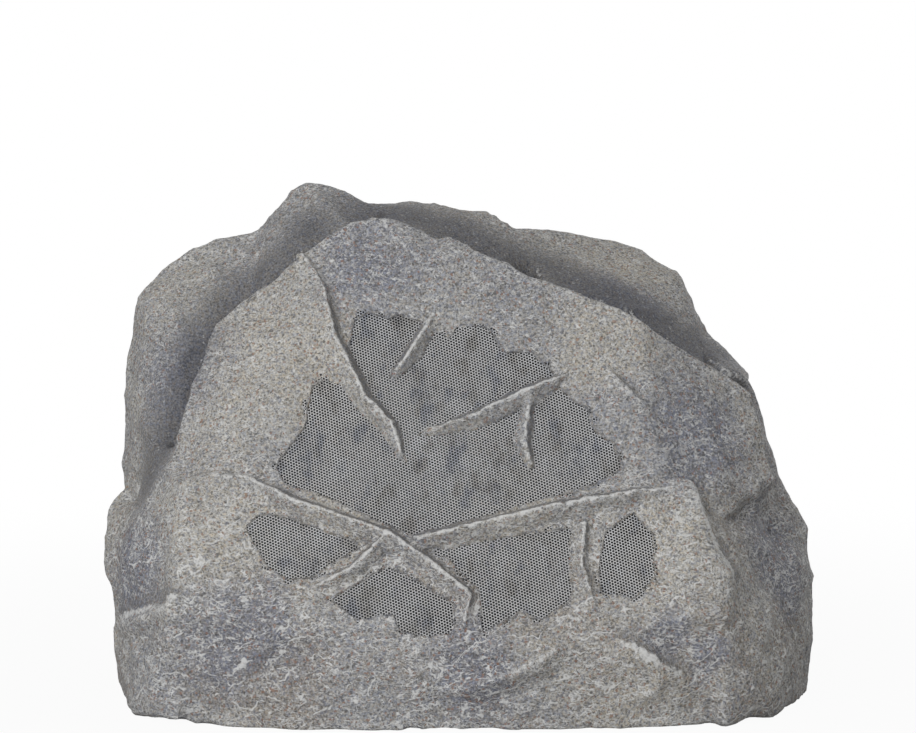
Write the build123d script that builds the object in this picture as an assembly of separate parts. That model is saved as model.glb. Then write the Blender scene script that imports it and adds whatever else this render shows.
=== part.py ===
from build123d import *
import math
import os

# A two-way loudspeaker inside a hollow moulded boulder, for use in a garden.
# Millimetres. +Z is up, the grille faces -Y, and the origin is the middle of the
# footprint on the ground.

# Boulder moulding. Its corners are carved in per cent of these three sizes.
ROCK_WIDTH = 480.0
ROCK_DEPTH = 380.0
ROCK_HEIGHT = 338.0
ROCK_WALL = 6.0

# Grille face: one flat sheet behind ragged windows in a thin skin of rock
GRILLE_CENTRE = (0.0, -35.0, 46.75)
GRILLE_LEAN = 28.0
SKIN = 2.5
PANEL_THICKNESS = 1.2
PANEL_PLAY = 0.5
HOLE_RADIUS = 7.0
HOLE_PITCH = 23.5
HOLE_ROW_TURN = 7.0
HOLE_EDGE = 2.0
RIDGE_STEEP_SHARE = 0.55
RIDGE_LONG_SHARE = 1.0

# Collar and baffle behind the grille
COLLAR_WALL = 8.0
BAFFLE_SETBACK = 30.0
BAFFLE_THICKNESS = 12.0
BAFFLE_GASKET_THICKNESS = 2.0
BAFFLE_ROOM = 2.0
DRIVER_MARGIN = 5.0
DRIVER_GAP = 4.0
DRIVER_ROOM = 1.0

# Woofer
WOOFER_FRAME_RADIUS = 78.0
WOOFER_FRAME_RIM = 16.0
WOOFER_SHEET = 2.0
WOOFER_GASKET_THICKNESS = 1.5
WOOFER_CUTOUT_CLEARANCE = 1.5
WOOFER_LEDGE_RADIUS = 40.0
WOOFER_LEDGE_WIDTH = 5.0
WOOFER_LEDGE_DEPTH = 32.0
WOOFER_FLOOR_DEPTH = 44.0
WOOFER_TRAVEL = 5.0
BASKET_FLOOR_HOLE = 20.0
BASKET_WINDOWS = 6
BASKET_WINDOW_ARC = 38.0
BASKET_WINDOW_TOP_SHARE = 0.25
BASKET_WINDOW_BOTTOM_SHARE = 0.8
SURROUND_ROLL_WIDTH = 9.0
SURROUND_ROLL_HEIGHT = 6.0
SURROUND_SKIN = 1.0
SURROUND_LIP = 4.0
CONE_PAPER = 1.2
CONE_NECK_SPARE = 1.0
DUST_CAP_RADIUS = 17.5
DUST_CAP_RISE = 6.0
DUST_CAP_SKIN = 0.8
SPIDER_SKIN = 0.8
SPIDER_WAVE = 1.6
SPIDER_WAVES = 4
COIL_RADIUS = 12.5
FORMER_SKIN = 0.4
WINDING_SKIN = 1.0
WINDING_HEIGHT = 14.0
COIL_GAP = 0.6
TOP_PLATE_RADIUS = 40.0
TOP_PLATE_THICKNESS = 6.0
MAGNET_OUTER_RADIUS = 44.0
MAGNET_INNER_RADIUS = 24.0
MAGNET_THICKNESS = 18.0
YOKE_THICKNESS = 6.0
GLUE_GAP = 0.2
TERMINAL_WIDTH = 16.0
TERMINAL_LENGTH = 15.0
TERMINAL_THICKNESS = 1.6
TAG_LENGTH = 8.0
TAG_WIDTH = 3.0

# Tweeter
TWEETER_RADIUS = 28.0
TWEETER_PLATE_THICKNESS = 3.0
TWEETER_DOME_RADIUS = 12.0
TWEETER_DOME_RISE = 3.6
TWEETER_DOME_SKIN = 0.8
TWEETER_RIM = 4.2
TWEETER_MOTOR_RADIUS = 21.0
TWEETER_MOTOR_DEPTH = 18.0
TWEETER_BEVEL = 1.0
TWEETER_CUTOUT_CLEARANCE = 1.0

# Base closure
PLATE_LIFT = 5.0
PLATE_THICKNESS = 6.0
PLATE_CLEARANCE = 1.0
BASE_GASKET_THICKNESS = 2.0
LEDGE_WIDTH = 14.0
LEDGE_THICKNESS = 8.0
BASE_SCREWS = 10

# Crossover on the base plate
BOARD_WIDTH = 120.0
BOARD_DEPTH = 80.0
BOARD_THICKNESS = 1.6
BOARD_SETBACK = 70.0
STANDOFF_RADIUS = 3.5
STANDOFF_HEIGHT = 8.0
STANDOFF_INSET = 6.0
INDUCTOR_RADIUS = 16.0
INDUCTOR_BORE = 7.0
INDUCTOR_HEIGHT = 14.0
INDUCTOR_FLANGE = 1.5
CAPACITOR_RADIUS = 8.0
CAPACITOR_LENGTH = 28.0
CAPACITOR_BEVEL = 1.0
RESISTOR_SIZE = (26.0, 9.0, 9.0)
INPUT_BLOCK_SIZE = (30.0, 14.0, 12.0)
INPUT_WIRE_RADIUS = 2.5

# Places on the board, as shares of its half sizes from its middle
COIL_PLACES = [(-0.45, 0.4), (0.3, 0.4)]
CAPACITOR_PLACES = [(-0.5, -0.45), (0.02, -0.45)]
RESISTOR_PLACE = (0.82, 0.36)
INPUT_PLACE = (0.58, -0.45)

# Cable hole at the back
GROMMET_HEIGHT = 40.0
GROMMET_BORE = 4.0
GROMMET_NECK = 7.0
GROMMET_FLANGE = 11.5
GROMMET_FLANGE_THICKNESS = 2.0
GROMMET_LIP = 3.0
GROMMET_PLAY = 0.3
BOSS_RADIUS = 17.0
BOSS_DEPTH = 12.0

# Fasteners
WOOFER_SCREW = dict(shank=2.0, length=14.0, head=3.6, rise=2.4)
TWEETER_SCREW = dict(shank=1.4, length=12.0, head=2.4, rise=1.6)
BAFFLE_SCREW = dict(shank=1.8, length=22.0, head=3.6, rise=2.4)
BASE_SCREW = dict(shank=2.0, length=14.0, head=4.0, rise=2.6)
BOARD_SCREW = dict(shank=1.4, length=7.0, head=2.6, rise=1.8)
SCREW_PLAY = 0.1
SCREW_EDGE = 1.0
WOOFER_SCREWS = 4
TWEETER_SCREWS = 3

# Outline of the grille sheet and of its windows, across and up from its middle
PANEL_OUTLINE = [(-143, -76), (-92, -101), (-40, -114), (30, -114), (86, -99), (132, -88),
                 (132, -26), (112, 20), (68, 84), (24, 110), (-34, 121), (-76, 121),
                 (-126, 10), (-143, -24)]
WINDOWS = [
    [(-70, 109), (-59, 115), (-46, 110), (-39, 114), (-28, 109), (-6, 97), (-1, 106), (20, 104),
     (31, 86), (48, 88), (62, 73), (74, 53), (86, 46), (89, 31), (102, 22), (108, 5), (87, -7),
     (22, -27), (-30, -42), (-66, -25), (-92, -12), (-112, -8), (-120, 6), (-101, 34),
     (-97, 61), (-87, 70), (-72, 90)],
    [(-138, -36), (-130, -27), (-109, -29), (-62, -48), (-96, -71), (-111, -71), (-123, -64)],
    [(-45, -62), (-19, -77), (-3, -88), (-3, -108), (-22, -110), (-37, -107), (-42, -95),
     (-64, -99), (-83, -85)],
    [(-20, -50), (-13, -46), (32, -42), (75, -36), (72, -63), (75, -83), (54, -99), (41, -92),
     (15, -109), (14, -80), (-6, -58)],
    [(114, -26), (127, -42), (127, -71), (112, -85), (92, -80), (90, -67), (95, -39)],
]

# Ridges between the windows: across, up and rise of each crest point, and the steep side
RIDGES = [
    ([(-90, 134, 4), (-82, 98, 10), (-61, 53, 10), (-44, 35, 9), (-36, 13, 4)], 1),
    ([(-12, 122, 4), (-30, 88, 9), (-43, 70, 4)], -1),
    ([(76, 72, 4), (49, 59, 10), (12, 41, 9), (-20, 30, 4)], -1),
    ([(48, 56, 6), (44, 23, 8), (48, 7, 4)], 1),
    ([(-181, -3, 4), (-139, -2, 7), (-106, -20, 11), (-45, -42, 11)], 1),
    ([(-45, -42, 11), (-18, -61, 10), (8, -83, 9), (2, -112, 3)], 1),
    ([(-45, -42, 11), (-68, -65, 9), (-101, -81, 4)], -1),
    ([(-29, -46, 10), (62, -24, 12), (112, -14, 10), (150, -8, 4)], 1),
    ([(82, -34, 9), (80, -63, 8), (89, -92, 4)], 1),
]


STANDING = (Align.CENTER, Align.CENTER, Align.MIN)


def in_rock(across, back, up):
    """Point of the boulder from per cent of its width, depth and height."""
    return Vector(across * ROCK_WIDTH, back * ROCK_DEPTH, up * ROCK_HEIGHT) / 100


LEAN = math.radians(GRILLE_LEAN)
GRILLE_PLANE = Plane(in_rock(*GRILLE_CENTRE), x_dir=(1, 0, 0),
                     z_dir=(0, -math.cos(LEAN), math.sin(LEAN)))
FACE_FOOT = (-ROCK_DEPTH / 2 - GRILLE_PLANE.origin.Y + SKIN * math.cos(LEAN)) / math.sin(LEAN)


def on_face(across, up, behind=0.0):
    """Point on the rock's flat front face, or behind it."""
    return GRILLE_PLANE.from_local_coords(Vector(across, up, SKIN - behind))


def boulder_corners():
    """Corners of each stone that the boulder is carved from."""
    brow = [on_face(-72, 179), on_face(-49, 182), on_face(68, 131), on_face(121, 108),
            on_face(-138, 30), on_face(128, 20), on_face(-140, -60), on_face(130, -60),
            on_face(-163, 115, 20), on_face(-193, 9, 25), on_face(196, 71, 40),
            on_face(212, 14, 50), in_rock(-23, 13, 73), in_rock(6, 16, 73),
            in_rock(29, 5, 60), in_rock(-40, 0, 36), in_rock(41, -3, 27)]
    apron = [on_face(-181, -3), on_face(-139, 0), on_face(151, -4), on_face(180, -72),
             on_face(-187, -70), on_face(-150, -92), on_face(-60, FACE_FOOT),
             on_face(60, FACE_FOOT), on_face(120, -106), on_face(172, -92),
             in_rock(-39, -43, 0), in_rock(-21, -48, 0), in_rock(-2.5, -49.2, 0),
             in_rock(14, -48, 0), in_rock(33, -45, 0), in_rock(38.5, -39.5, 0),
             in_rock(-31, -11, 33), in_rock(29, -11, 33), in_rock(-38, -5, 0), in_rock(38, -5, 0)]
    left_block = [in_rock(-46, 1.5, 78), in_rock(-43, 4, 81.5), in_rock(-38.8, 5, 85),
                  in_rock(-29, 6.5, 90), in_rock(-46.7, 0, 68), in_rock(-48, -2.5, 50),
                  in_rock(-47.7, -4, 40.5), in_rock(-41, -9, 75), in_rock(-43, -18, 50),
                  in_rock(-42.5, -20, 35), in_rock(-27, -3, 83), in_rock(-42.7, 26, 66),
                  in_rock(-29, 32, 81), in_rock(-46, 18.5, 35), in_rock(-45, -10, 0),
                  in_rock(-44, 23, 0), in_rock(-20, 29, 0), in_rock(-20, -10, 0)]
    peak = [in_rock(-29.5, 6.5, 89.5), in_rock(-24.8, 4, 96.4), in_rock(-21.7, 6.5, 100),
            in_rock(-17, 6.5, 98.2), in_rock(-11.3, 3, 94.7), in_rock(-27, -8, 85),
            in_rock(-12.5, -8.5, 89), in_rock(-27, 24, 87), in_rock(-12.5, 25, 90), in_rock(-33, -3, 44),
            in_rock(-6, -3, 44), in_rock(-6, 24, 44), in_rock(-33, 24, 44)]
    crown = [in_rock(-17, 9, 95.5), in_rock(-12, 13, 95.3), in_rock(-5.6, 15.8, 95.5),
             in_rock(4.4, 10.5, 95), in_rock(7.5, 8, 91.7), in_rock(12, 2.6, 84.6), in_rock(-8.3, -6.5, 88.8),
             in_rock(3, -6.5, 84.3), in_rock(-11.5, 34, 85.8), in_rock(7.3, 33, 84.3),
             in_rock(-15, -3, 44), in_rock(15, -3, 44), in_rock(15, 33, 44), in_rock(-15, 33, 44)]
    right_block = [in_rock(7.6, 9, 91), in_rock(11.2, 13, 88.8), in_rock(18.5, 15.8, 88.5),
                   in_rock(26.7, 15.8, 86), in_rock(32, 13, 82), in_rock(33.8, 10.5, 75), in_rock(37, 8, 65.7),
                   in_rock(12.5, -4, 80.5), in_rock(24, -6.5, 75.5),
                   in_rock(34.4, -8, 64.5), in_rock(12.5, 35.5, 78.4), in_rock(27, 33, 75.4),
                   in_rock(38.5, 25, 56), in_rock(43, 5, 0), in_rock(41.7, 26, 0),
                   in_rock(8, 34, 0), in_rock(8, 0, 0)]
    right_flank = [in_rock(41.5, 2.6, 61.8), in_rock(42.7, 0, 56.5), in_rock(43.4, -2.6, 46.5),
                   in_rock(45.4, -5.3, 41.7), in_rock(46.2, -5.3, 36.7), in_rock(46, -5, 18),
                   in_rock(39.5, -21, 49), in_rock(41.5, -24, 32), in_rock(41.5, 23, 50),
                   in_rock(44.5, 23, 18), in_rock(45, -5, 0), in_rock(45, 23, 0),
                   in_rock(25, -16, 0), in_rock(25, 21, 0), in_rock(31, 5, 63)]
    right_foot = [in_rock(46.2, -4, 35.5), in_rock(50, -8, 27.8), in_rock(50, -10.5, 17.2),
                  in_rock(50, -11.8, 9.2), in_rock(49.2, -16.3, 0), in_rock(46.9, -28.4, 0),
                  in_rock(34, -41, 0), in_rock(42.5, -29, 28), in_rock(41.5, -35.5, 13),
                  in_rock(46, -25, 21), in_rock(48.7, 13, 18), in_rock(46.5, 21, 0),
                  in_rock(46, 13, 27), in_rock(25, -20, 0), in_rock(25, 16, 0),
                  in_rock(32, -10, 33)]
    left_foot = [in_rock(-47.3, -5.3, 38.8), in_rock(-49.6, -8, 35.2), in_rock(-50, -10.5, 30.5),
                 in_rock(-50, -11.8, 25.4), in_rock(-48.2, -15.8, 16.9), in_rock(-41.5, -25, 35),
                 in_rock(-41, -30.5, 20), in_rock(-49, 8, 27), in_rock(-47, 16, 12),
                 in_rock(-46, -13, 0), in_rock(-45, 16, 0), in_rock(-25, -20, 0),
                 in_rock(-25, 16, 0), in_rock(-34, -5, 38)]
    left_skirt = [in_rock(-48.2, -16.3, 16.9), in_rock(-47.9, -17.1, 10.3),
                  in_rock(-46.6, -24.7, 0), in_rock(-44.8, -38.2, 0), in_rock(-34, -42, 0),
                  in_rock(-38, -41, 17), in_rock(-43, -34, 17.5), in_rock(-47, 2, 13),
                  in_rock(-45, 5, 0), in_rock(-25, -10, 0), in_rock(-25, -10, 17)]
    rear = [in_rock(-12.5, 29, 84), in_rock(8.3, 29.5, 82.5), in_rock(21, 29, 76),
            in_rock(-27, 30, 77.5), in_rock(-29, 43.4, 41.5), in_rock(-8.3, 50, 23.7),
            in_rock(10.4, 50, 23.7), in_rock(25, 45, 38.5), in_rock(-4, 47, 50),
            in_rock(-35.4, 42, 0), in_rock(-12.5, 50, 0), in_rock(14.6, 50, 0),
            in_rock(35.8, 41.6, 0), in_rock(45.8, 23.7, 0), in_rock(-44.6, 23, 0),
            in_rock(-42.7, 25, 38.5), in_rock(42.7, 24, 35.5), in_rock(-45.2, 14, 0),
            in_rock(-44.6, 13, 36), in_rock(45.6, 14, 0), in_rock(43.4, 13, 36), in_rock(-20, 0, 0),
            in_rock(20, 0, 0), in_rock(-15, 5, 70), in_rock(15, 5, 70)]
    core = [in_rock(-40, -38, 0), in_rock(38.5, -37, 0), in_rock(-43, 21, 0), in_rock(43.5, 21, 0),
            in_rock(-41, -31, 14), in_rock(40.5, -30, 14),
            in_rock(-31, 39.5, 0), in_rock(31, 39.5, 0), in_rock(-42.3, -13, 35.5),
            in_rock(42.7, -13, 35.5), in_rock(-42.7, 18.5, 35.5), in_rock(42.7, 18.5, 35.5),
            in_rock(-25, 39.5, 35.5), in_rock(23, 39.5, 35.5), in_rock(-40.5, 5, 59),
            in_rock(36.5, 5, 59), in_rock(-25, 2.6, 83), in_rock(21, 2.6, 79),
            in_rock(-23, 25, 80), in_rock(19, 25, 76.5)]
    return [core, brow, apron, left_block, peak, crown, right_block, right_flank, right_foot,
            left_foot, left_skirt, rear]


STONES = [ConvexPolyhedron(corners) for corners in boulder_corners()]
BOULDER = STONES[0].fuse(*STONES[1:])


def pared(stone, depth):
    """The stone with every facet but the one on the ground moved in by a depth."""
    core = Box(2 * ROCK_WIDTH, 2 * ROCK_DEPTH, 2 * ROCK_HEIGHT)
    middle = stone.center()
    for facet in stone.faces():
        outward = facet.normal_at()
        if outward.dot(facet.center() - middle) < 0:
            outward = outward * -1
        on_ground = outward.Z < -0.99 and facet.center().Z < 1.0
        move = -1.0 if on_ground else depth
        core = split(core, Plane(facet.center() - outward * move, z_dir=outward), keep=Keep.BOTTOM)
    return core


def flat(outline, margin=0.0):
    """Face of an outline, grown or shrunk by a margin."""
    face = make_face(Polyline(*outline, close=True))
    return offset(face, amount=margin, kind=Kind.INTERSECTION) if margin else face


def in_grille(face, bottom, top):
    """Face drawn in the grille's own plane, extruded between two heights above the sheet."""
    return GRILLE_PLANE.location * Pos(0, 0, bottom) * extrude(face, top - bottom)


def turned(*profile):
    """Solid of revolution about Z from (radius, height) points."""
    return revolve(make_face(Polyline(*[(r, 0, z) for r, z in profile], close=True)), Axis.Z)


def ring(outer, inner, bottom, top):
    """Flat ring about Z."""
    return turned((inner, bottom), (outer, bottom), (outer, top), (inner, top))


def dome(radius, rise, bottom):
    """Arc from a cap's rim to its top."""
    ball = (radius ** 2 + rise ** 2) / (2 * rise)
    half_way = math.asin(radius / ball) / 2
    middle = (ball * math.sin(half_way), 0, bottom + rise - ball + ball * math.cos(half_way))
    return ThreePointArc((radius, 0, bottom), middle, (0, 0, bottom + rise))


def cap(radius, rise, skin, bottom):
    """Thin domed cap about Z that stands on its rim."""
    rim = Line((radius - skin, 0, bottom), (radius, 0, bottom))
    middle = Line((0, 0, bottom + rise), (0, 0, bottom + rise - skin))
    section_edges = [dome(radius, rise, bottom), middle, dome(radius - skin, rise - skin, bottom), rim]
    return revolve(make_face(section_edges), Axis.Z)


def screw(shank, length, head, rise):
    """Pan head screw that stands on Z = 0 with its shank below."""
    return turned((0, -length), (shank * 0.5, -length), (shank, -length + shank), (shank, 0),
                  (head, 0), (head, rise * 0.6), (head * 0.6, rise), (0, rise))


def screw_hole(shank, length, **head):
    """Room for a screw's shank, open above its head."""
    room = Cylinder(shank + SCREW_PLAY, length + 2 * SCREW_PLAY, align=STANDING)
    return Pos(0, 0, -length - SCREW_PLAY) * room


def screws(seats, kind):
    """Like screws kept together as one piece."""
    return Compound(children=[seat * screw(**kind) for seat in seats])


def drilled(solid, seats, kind):
    """Solid with a hole for each screw."""
    return solid.cut(*[seat * screw_hole(**kind) for seat in seats])


# Places of the drivers on the baffle
PANEL_BOTTOM = min(up for across, up in PANEL_OUTLINE)
WOOFER_UP = PANEL_BOTTOM + DRIVER_MARGIN + WOOFER_FRAME_RADIUS
TWEETER_UP = WOOFER_UP + WOOFER_FRAME_RADIUS + DRIVER_GAP + TWEETER_RADIUS
BAFFLE_FRONT = GRILLE_PLANE.location * Pos(0, 0, -BAFFLE_SETBACK)
COLLAR_END = -BAFFLE_SETBACK + BAFFLE_GASKET_THICKNESS
WOOFER_SEAT = BAFFLE_FRONT * Pos(0, WOOFER_UP, WOOFER_GASKET_THICKNESS)
TWEETER_SEAT = BAFFLE_FRONT * Pos(0, TWEETER_UP, 0)
WOOFER_BOWL_RADIUS = WOOFER_FRAME_RADIUS - WOOFER_FRAME_RIM
WOOFER_CUTOUT = WOOFER_BOWL_RADIUS + WOOFER_SHEET + WOOFER_CUTOUT_CLEARANCE
TWEETER_CUTOUT = TWEETER_MOTOR_RADIUS + TWEETER_CUTOUT_CLEARANCE
DRIVER_ROOMS = [WOOFER_SEAT * Cylinder(WOOFER_FRAME_RADIUS + DRIVER_ROOM, BAFFLE_THICKNESS),
                TWEETER_SEAT * Cylinder(TWEETER_RADIUS + DRIVER_ROOM, BAFFLE_THICKNESS)]

# Screw seats of the two drivers and of the baffle
WOOFER_SCREW_RING = WOOFER_FRAME_RADIUS - WOOFER_SCREW["head"] - SCREW_EDGE
TWEETER_SCREW_RING = TWEETER_CUTOUT + TWEETER_SCREW["shank"] + SCREW_PLAY + SCREW_EDGE
WOOFER_SCREW_SEATS = [WOOFER_SEAT * place * Pos(0, 0, WOOFER_SHEET)
                      for place in PolarLocations(WOOFER_SCREW_RING, WOOFER_SCREWS, 45)]
TWEETER_SCREW_SEATS = [TWEETER_SEAT * place * Pos(0, 0, TWEETER_PLATE_THICKNESS)
                       for place in PolarLocations(TWEETER_SCREW_RING, TWEETER_SCREWS, 90)]
BAFFLE_SCREW_SEATS = [BAFFLE_FRONT * Pos(corner.X, corner.Y, -BAFFLE_THICKNESS) * Rot(180, 0, 0)
                      for corner in flat(PANEL_OUTLINE, COLLAR_WALL / 2).vertices()]

# Heights of the plate that closes the foot of the boulder, and of the ledge that takes it
PLATE_TOP = PLATE_LIFT + PLATE_THICKNESS
LEDGE_BOTTOM = PLATE_TOP + BASE_GASKET_THICKNESS


def footprint(stone):
    """Where a stone stands, clear of its walls up to the ledge."""
    at_ground = section(stone, Plane.XY)
    at_ledge = section(stone, Plane.XY.offset(LEDGE_BOTTOM))
    return at_ground & Pos(0, 0, -LEDGE_BOTTOM) * at_ledge


FOOTPRINTS = [footprint(stone) for stone in STONES if stone.bounding_box().min.Z < 1.0]


def foot_face(inset):
    """The outline of the boulder's foot, moved in."""
    faces = [offset(face, amount=-inset, kind=Kind.INTERSECTION) for face in FOOTPRINTS]
    first, *others = [extrude(face, 1, dir=(0, 0, 1)) for face in faces]
    return Face(first.fuse(*others).faces().sort_by(Axis.Z)[0].outer_wire())


def foot(inset, bottom, thickness):
    """Slab with the outline of the boulder's foot, moved in."""
    return Pos(0, 0, bottom) * extrude(foot_face(inset), thickness, dir=(0, 0, 1))


PLATE_INSET = ROCK_WALL + PLATE_CLEARANCE
LEDGE_INSET = ROCK_WALL + LEDGE_WIDTH
SCREW_LOOP = foot_face((PLATE_INSET + LEDGE_INSET) / 2).outer_wire()
BASE_SCREW_SEATS = [Pos(0, 0, PLATE_LIFT) * Location(SCREW_LOOP.position_at((i + 0.5) / BASE_SCREWS))
                    * Rot(180, 0, 0) for i in range(BASE_SCREWS)]

# Cable hole: the seat is the floor of the recess that takes the grommet's flange
GROMMET_SEAT = Plane((0, ROCK_DEPTH / 2 - GROMMET_FLANGE_THICKNESS - GROMMET_PLAY, GROMMET_HEIGHT),
                     x_dir=(1, 0, 0), z_dir=(0, 1, 0)).location


def ridge(crest, steep_side):
    """Crooked rib of rock: a wedge along each stretch of its crest."""
    stretches = []
    for start, end in zip(crest, crest[1:]):
        along = (Vector(*end[:2]) - Vector(*start[:2])).normalized()
        steep = Vector(-along.Y, along.X) * steep_side
        corners = []
        for across, up, rise in (start, end):
            steep_foot = Vector(across, up) + steep * rise * RIDGE_STEEP_SHARE
            long_foot = Vector(across, up) - steep * rise * RIDGE_LONG_SHARE
            corners += [on_face(across, up, SKIN - rise), on_face(steep_foot.X, steep_foot.Y, SKIN),
                        on_face(long_foot.X, long_foot.Y, SKIN)]
        stretches.append(ConvexPolyhedron(corners))
    return stretches


def rock_shell():
    """Hollow boulder with its windows, ridges, collar, ledge and cable hole."""
    hollow = [pared(stone, ROCK_WALL) for stone in STONES]
    ledge = foot(ROCK_WALL / 2, LEDGE_BOTTOM, LEDGE_THICKNESS)
    ledge -= foot(LEDGE_INSET, LEDGE_BOTTOM, LEDGE_THICKNESS)
    collar = in_grille(flat(PANEL_OUTLINE, COLLAR_WALL), COLLAR_END, SKIN)
    boss = GROMMET_SEAT * Pos(0, 0, -BOSS_DEPTH / 2) * Cylinder(BOSS_RADIUS, BOSS_DEPTH)
    shell = BOULDER.cut(*hollow).fuse(*[inner & BOULDER for inner in (ledge, collar, boss)])
    pocket = in_grille(flat(PANEL_OUTLINE), COLLAR_END - BAFFLE_ROOM, 0)
    baffle_room = in_grille(flat(PANEL_OUTLINE, COLLAR_WALL + BAFFLE_ROOM),
                            COLLAR_END - BAFFLE_ROOM - 2 * BAFFLE_THICKNESS, COLLAR_END)
    windows = [in_grille(flat(window), -SKIN, 2 * SKIN) for window in WINDOWS]
    shell = shell.cut(pocket, baffle_room, *DRIVER_ROOMS, *windows)
    ridges = [stretch for crest, side in RIDGES for stretch in ridge(crest, side)]
    shell = shell.fuse(*ridges)
    holes = [seat * screw_hole(**BAFFLE_SCREW) for seat in BAFFLE_SCREW_SEATS]
    holes += [seat * screw_hole(**BASE_SCREW) for seat in BASE_SCREW_SEATS]
    neck = GROMMET_SEAT * Cylinder(GROMMET_NECK, 4 * BOSS_DEPTH)
    recess = Cylinder(GROMMET_FLANGE + GROMMET_PLAY, BOSS_DEPTH, align=STANDING)
    return shell.cut(neck, GROMMET_SEAT * recess, *holes)


def grille_panel():
    """Flat perforated sheet. Each of its holes stands for a patch of fine perforation."""
    sheet = in_grille(flat(PANEL_OUTLINE, -PANEL_PLAY), -PANEL_THICKNESS, 0)
    field = flat(PANEL_OUTLINE, -PANEL_PLAY - HOLE_RADIUS - HOLE_EDGE).face()
    reach = int(ROCK_WIDTH / HOLE_PITCH)
    turn = Rot(0, 0, 90 + HOLE_ROW_TURN)
    holes = []
    for row in range(-reach, reach + 1):
        for column in range(-reach, reach + 1):
            across = (column + 0.5 * (row % 2)) * HOLE_PITCH
            place = turn * Pos(across, row * HOLE_PITCH * math.sqrt(3) / 2)
            if field.is_inside(place.position):
                hole = extrude(RegularPolygon(HOLE_RADIUS, 6), PANEL_THICKNESS, both=True)
                holes.append(GRILLE_PLANE.location * place * hole)
    return sheet.cut(*holes)


def baffle():
    """Board that closes the collar and carries both drivers."""
    board = in_grille(flat(PANEL_OUTLINE, COLLAR_WALL), -BAFFLE_SETBACK - BAFFLE_THICKNESS,
                      -BAFFLE_SETBACK)
    board = board.cut(WOOFER_SEAT * Cylinder(WOOFER_CUTOUT, 4 * BAFFLE_THICKNESS),
                      TWEETER_SEAT * Cylinder(TWEETER_CUTOUT, 4 * BAFFLE_THICKNESS))
    board = drilled(board, BAFFLE_SCREW_SEATS, BAFFLE_SCREW)
    board = drilled(board, WOOFER_SCREW_SEATS, WOOFER_SCREW)
    return drilled(board, TWEETER_SCREW_SEATS, TWEETER_SCREW)


def baffle_gasket():
    """Foam seal between the collar and the baffle."""
    seal = in_grille(flat(PANEL_OUTLINE, COLLAR_WALL) - flat(PANEL_OUTLINE), -BAFFLE_SETBACK,
                     COLLAR_END).cut(*DRIVER_ROOMS)
    return drilled(seal, BAFFLE_SCREW_SEATS, BAFFLE_SCREW)


def woofer_basket():
    """Pressed steel frame: rim, bowl with windows, ledge for the spider and floor."""
    sheet = WOOFER_SHEET
    ledge_inner = WOOFER_LEDGE_RADIUS - WOOFER_LEDGE_WIDTH
    basket = turned((WOOFER_FRAME_RADIUS, 0), (WOOFER_FRAME_RADIUS, sheet),
                    (WOOFER_BOWL_RADIUS, sheet),
                    (WOOFER_LEDGE_RADIUS, sheet - WOOFER_LEDGE_DEPTH),
                    (ledge_inner, sheet - WOOFER_LEDGE_DEPTH),
                    (ledge_inner, sheet - WOOFER_FLOOR_DEPTH),
                    (BASKET_FLOOR_HOLE, sheet - WOOFER_FLOOR_DEPTH),
                    (BASKET_FLOOR_HOLE, -WOOFER_FLOOR_DEPTH),
                    (ledge_inner + sheet, -WOOFER_FLOOR_DEPTH),
                    (ledge_inner + sheet, -WOOFER_LEDGE_DEPTH),
                    (WOOFER_LEDGE_RADIUS + sheet, -WOOFER_LEDGE_DEPTH),
                    (WOOFER_BOWL_RADIUS + sheet, 0))
    low = -BASKET_WINDOW_BOTTOM_SHARE * WOOFER_LEDGE_DEPTH
    high = -BASKET_WINDOW_TOP_SHARE * WOOFER_LEDGE_DEPTH
    opening = make_face(Polyline((ledge_inner, 0, low), (WOOFER_FRAME_RADIUS, 0, low),
                                 (WOOFER_FRAME_RADIUS, 0, high), (ledge_inner, 0, high), close=True))
    opening = Rot(0, 0, -BASKET_WINDOW_ARC / 2) * revolve(opening, Axis.Z, BASKET_WINDOW_ARC)
    openings = [Rot(0, 0, 360 * (i + 0.5) / BASKET_WINDOWS) * opening for i in range(BASKET_WINDOWS)]
    return drilled(WOOFER_SEAT * basket.cut(*openings), WOOFER_SCREW_SEATS, WOOFER_SCREW)


def woofer_gasket():
    """Foam ring under the woofer's rim."""
    seal = ring(WOOFER_FRAME_RADIUS, WOOFER_CUTOUT, -WOOFER_GASKET_THICKNESS, 0)
    return drilled(WOOFER_SEAT * seal, WOOFER_SCREW_SEATS, WOOFER_SCREW)


# Moving parts of the woofer hang between these radii
CONE_RADIUS = WOOFER_BOWL_RADIUS - SURROUND_ROLL_WIDTH
FORMER_RADIUS = COIL_RADIUS + FORMER_SKIN
NECK_RADIUS = FORMER_RADIUS + GLUE_GAP
WINDING_RADIUS = FORMER_RADIUS + WINDING_SKIN
POLE_RADIUS = COIL_RADIUS - COIL_GAP
GAP_RADIUS = WINDING_RADIUS + COIL_GAP
GAP_MIDDLE = -WOOFER_FLOOR_DEPTH - TOP_PLATE_THICKNESS / 2
FLAT_RIM = SURROUND_LIP - SURROUND_SKIN
SPIDER_SEAT = WOOFER_SHEET - WOOFER_LEDGE_DEPTH
SPIDER_TOP = SPIDER_SEAT + SPIDER_WAVE + SPIDER_SKIN
CONE_NECK = SPIDER_TOP + WOOFER_TRAVEL + CONE_NECK_SPARE


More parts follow.
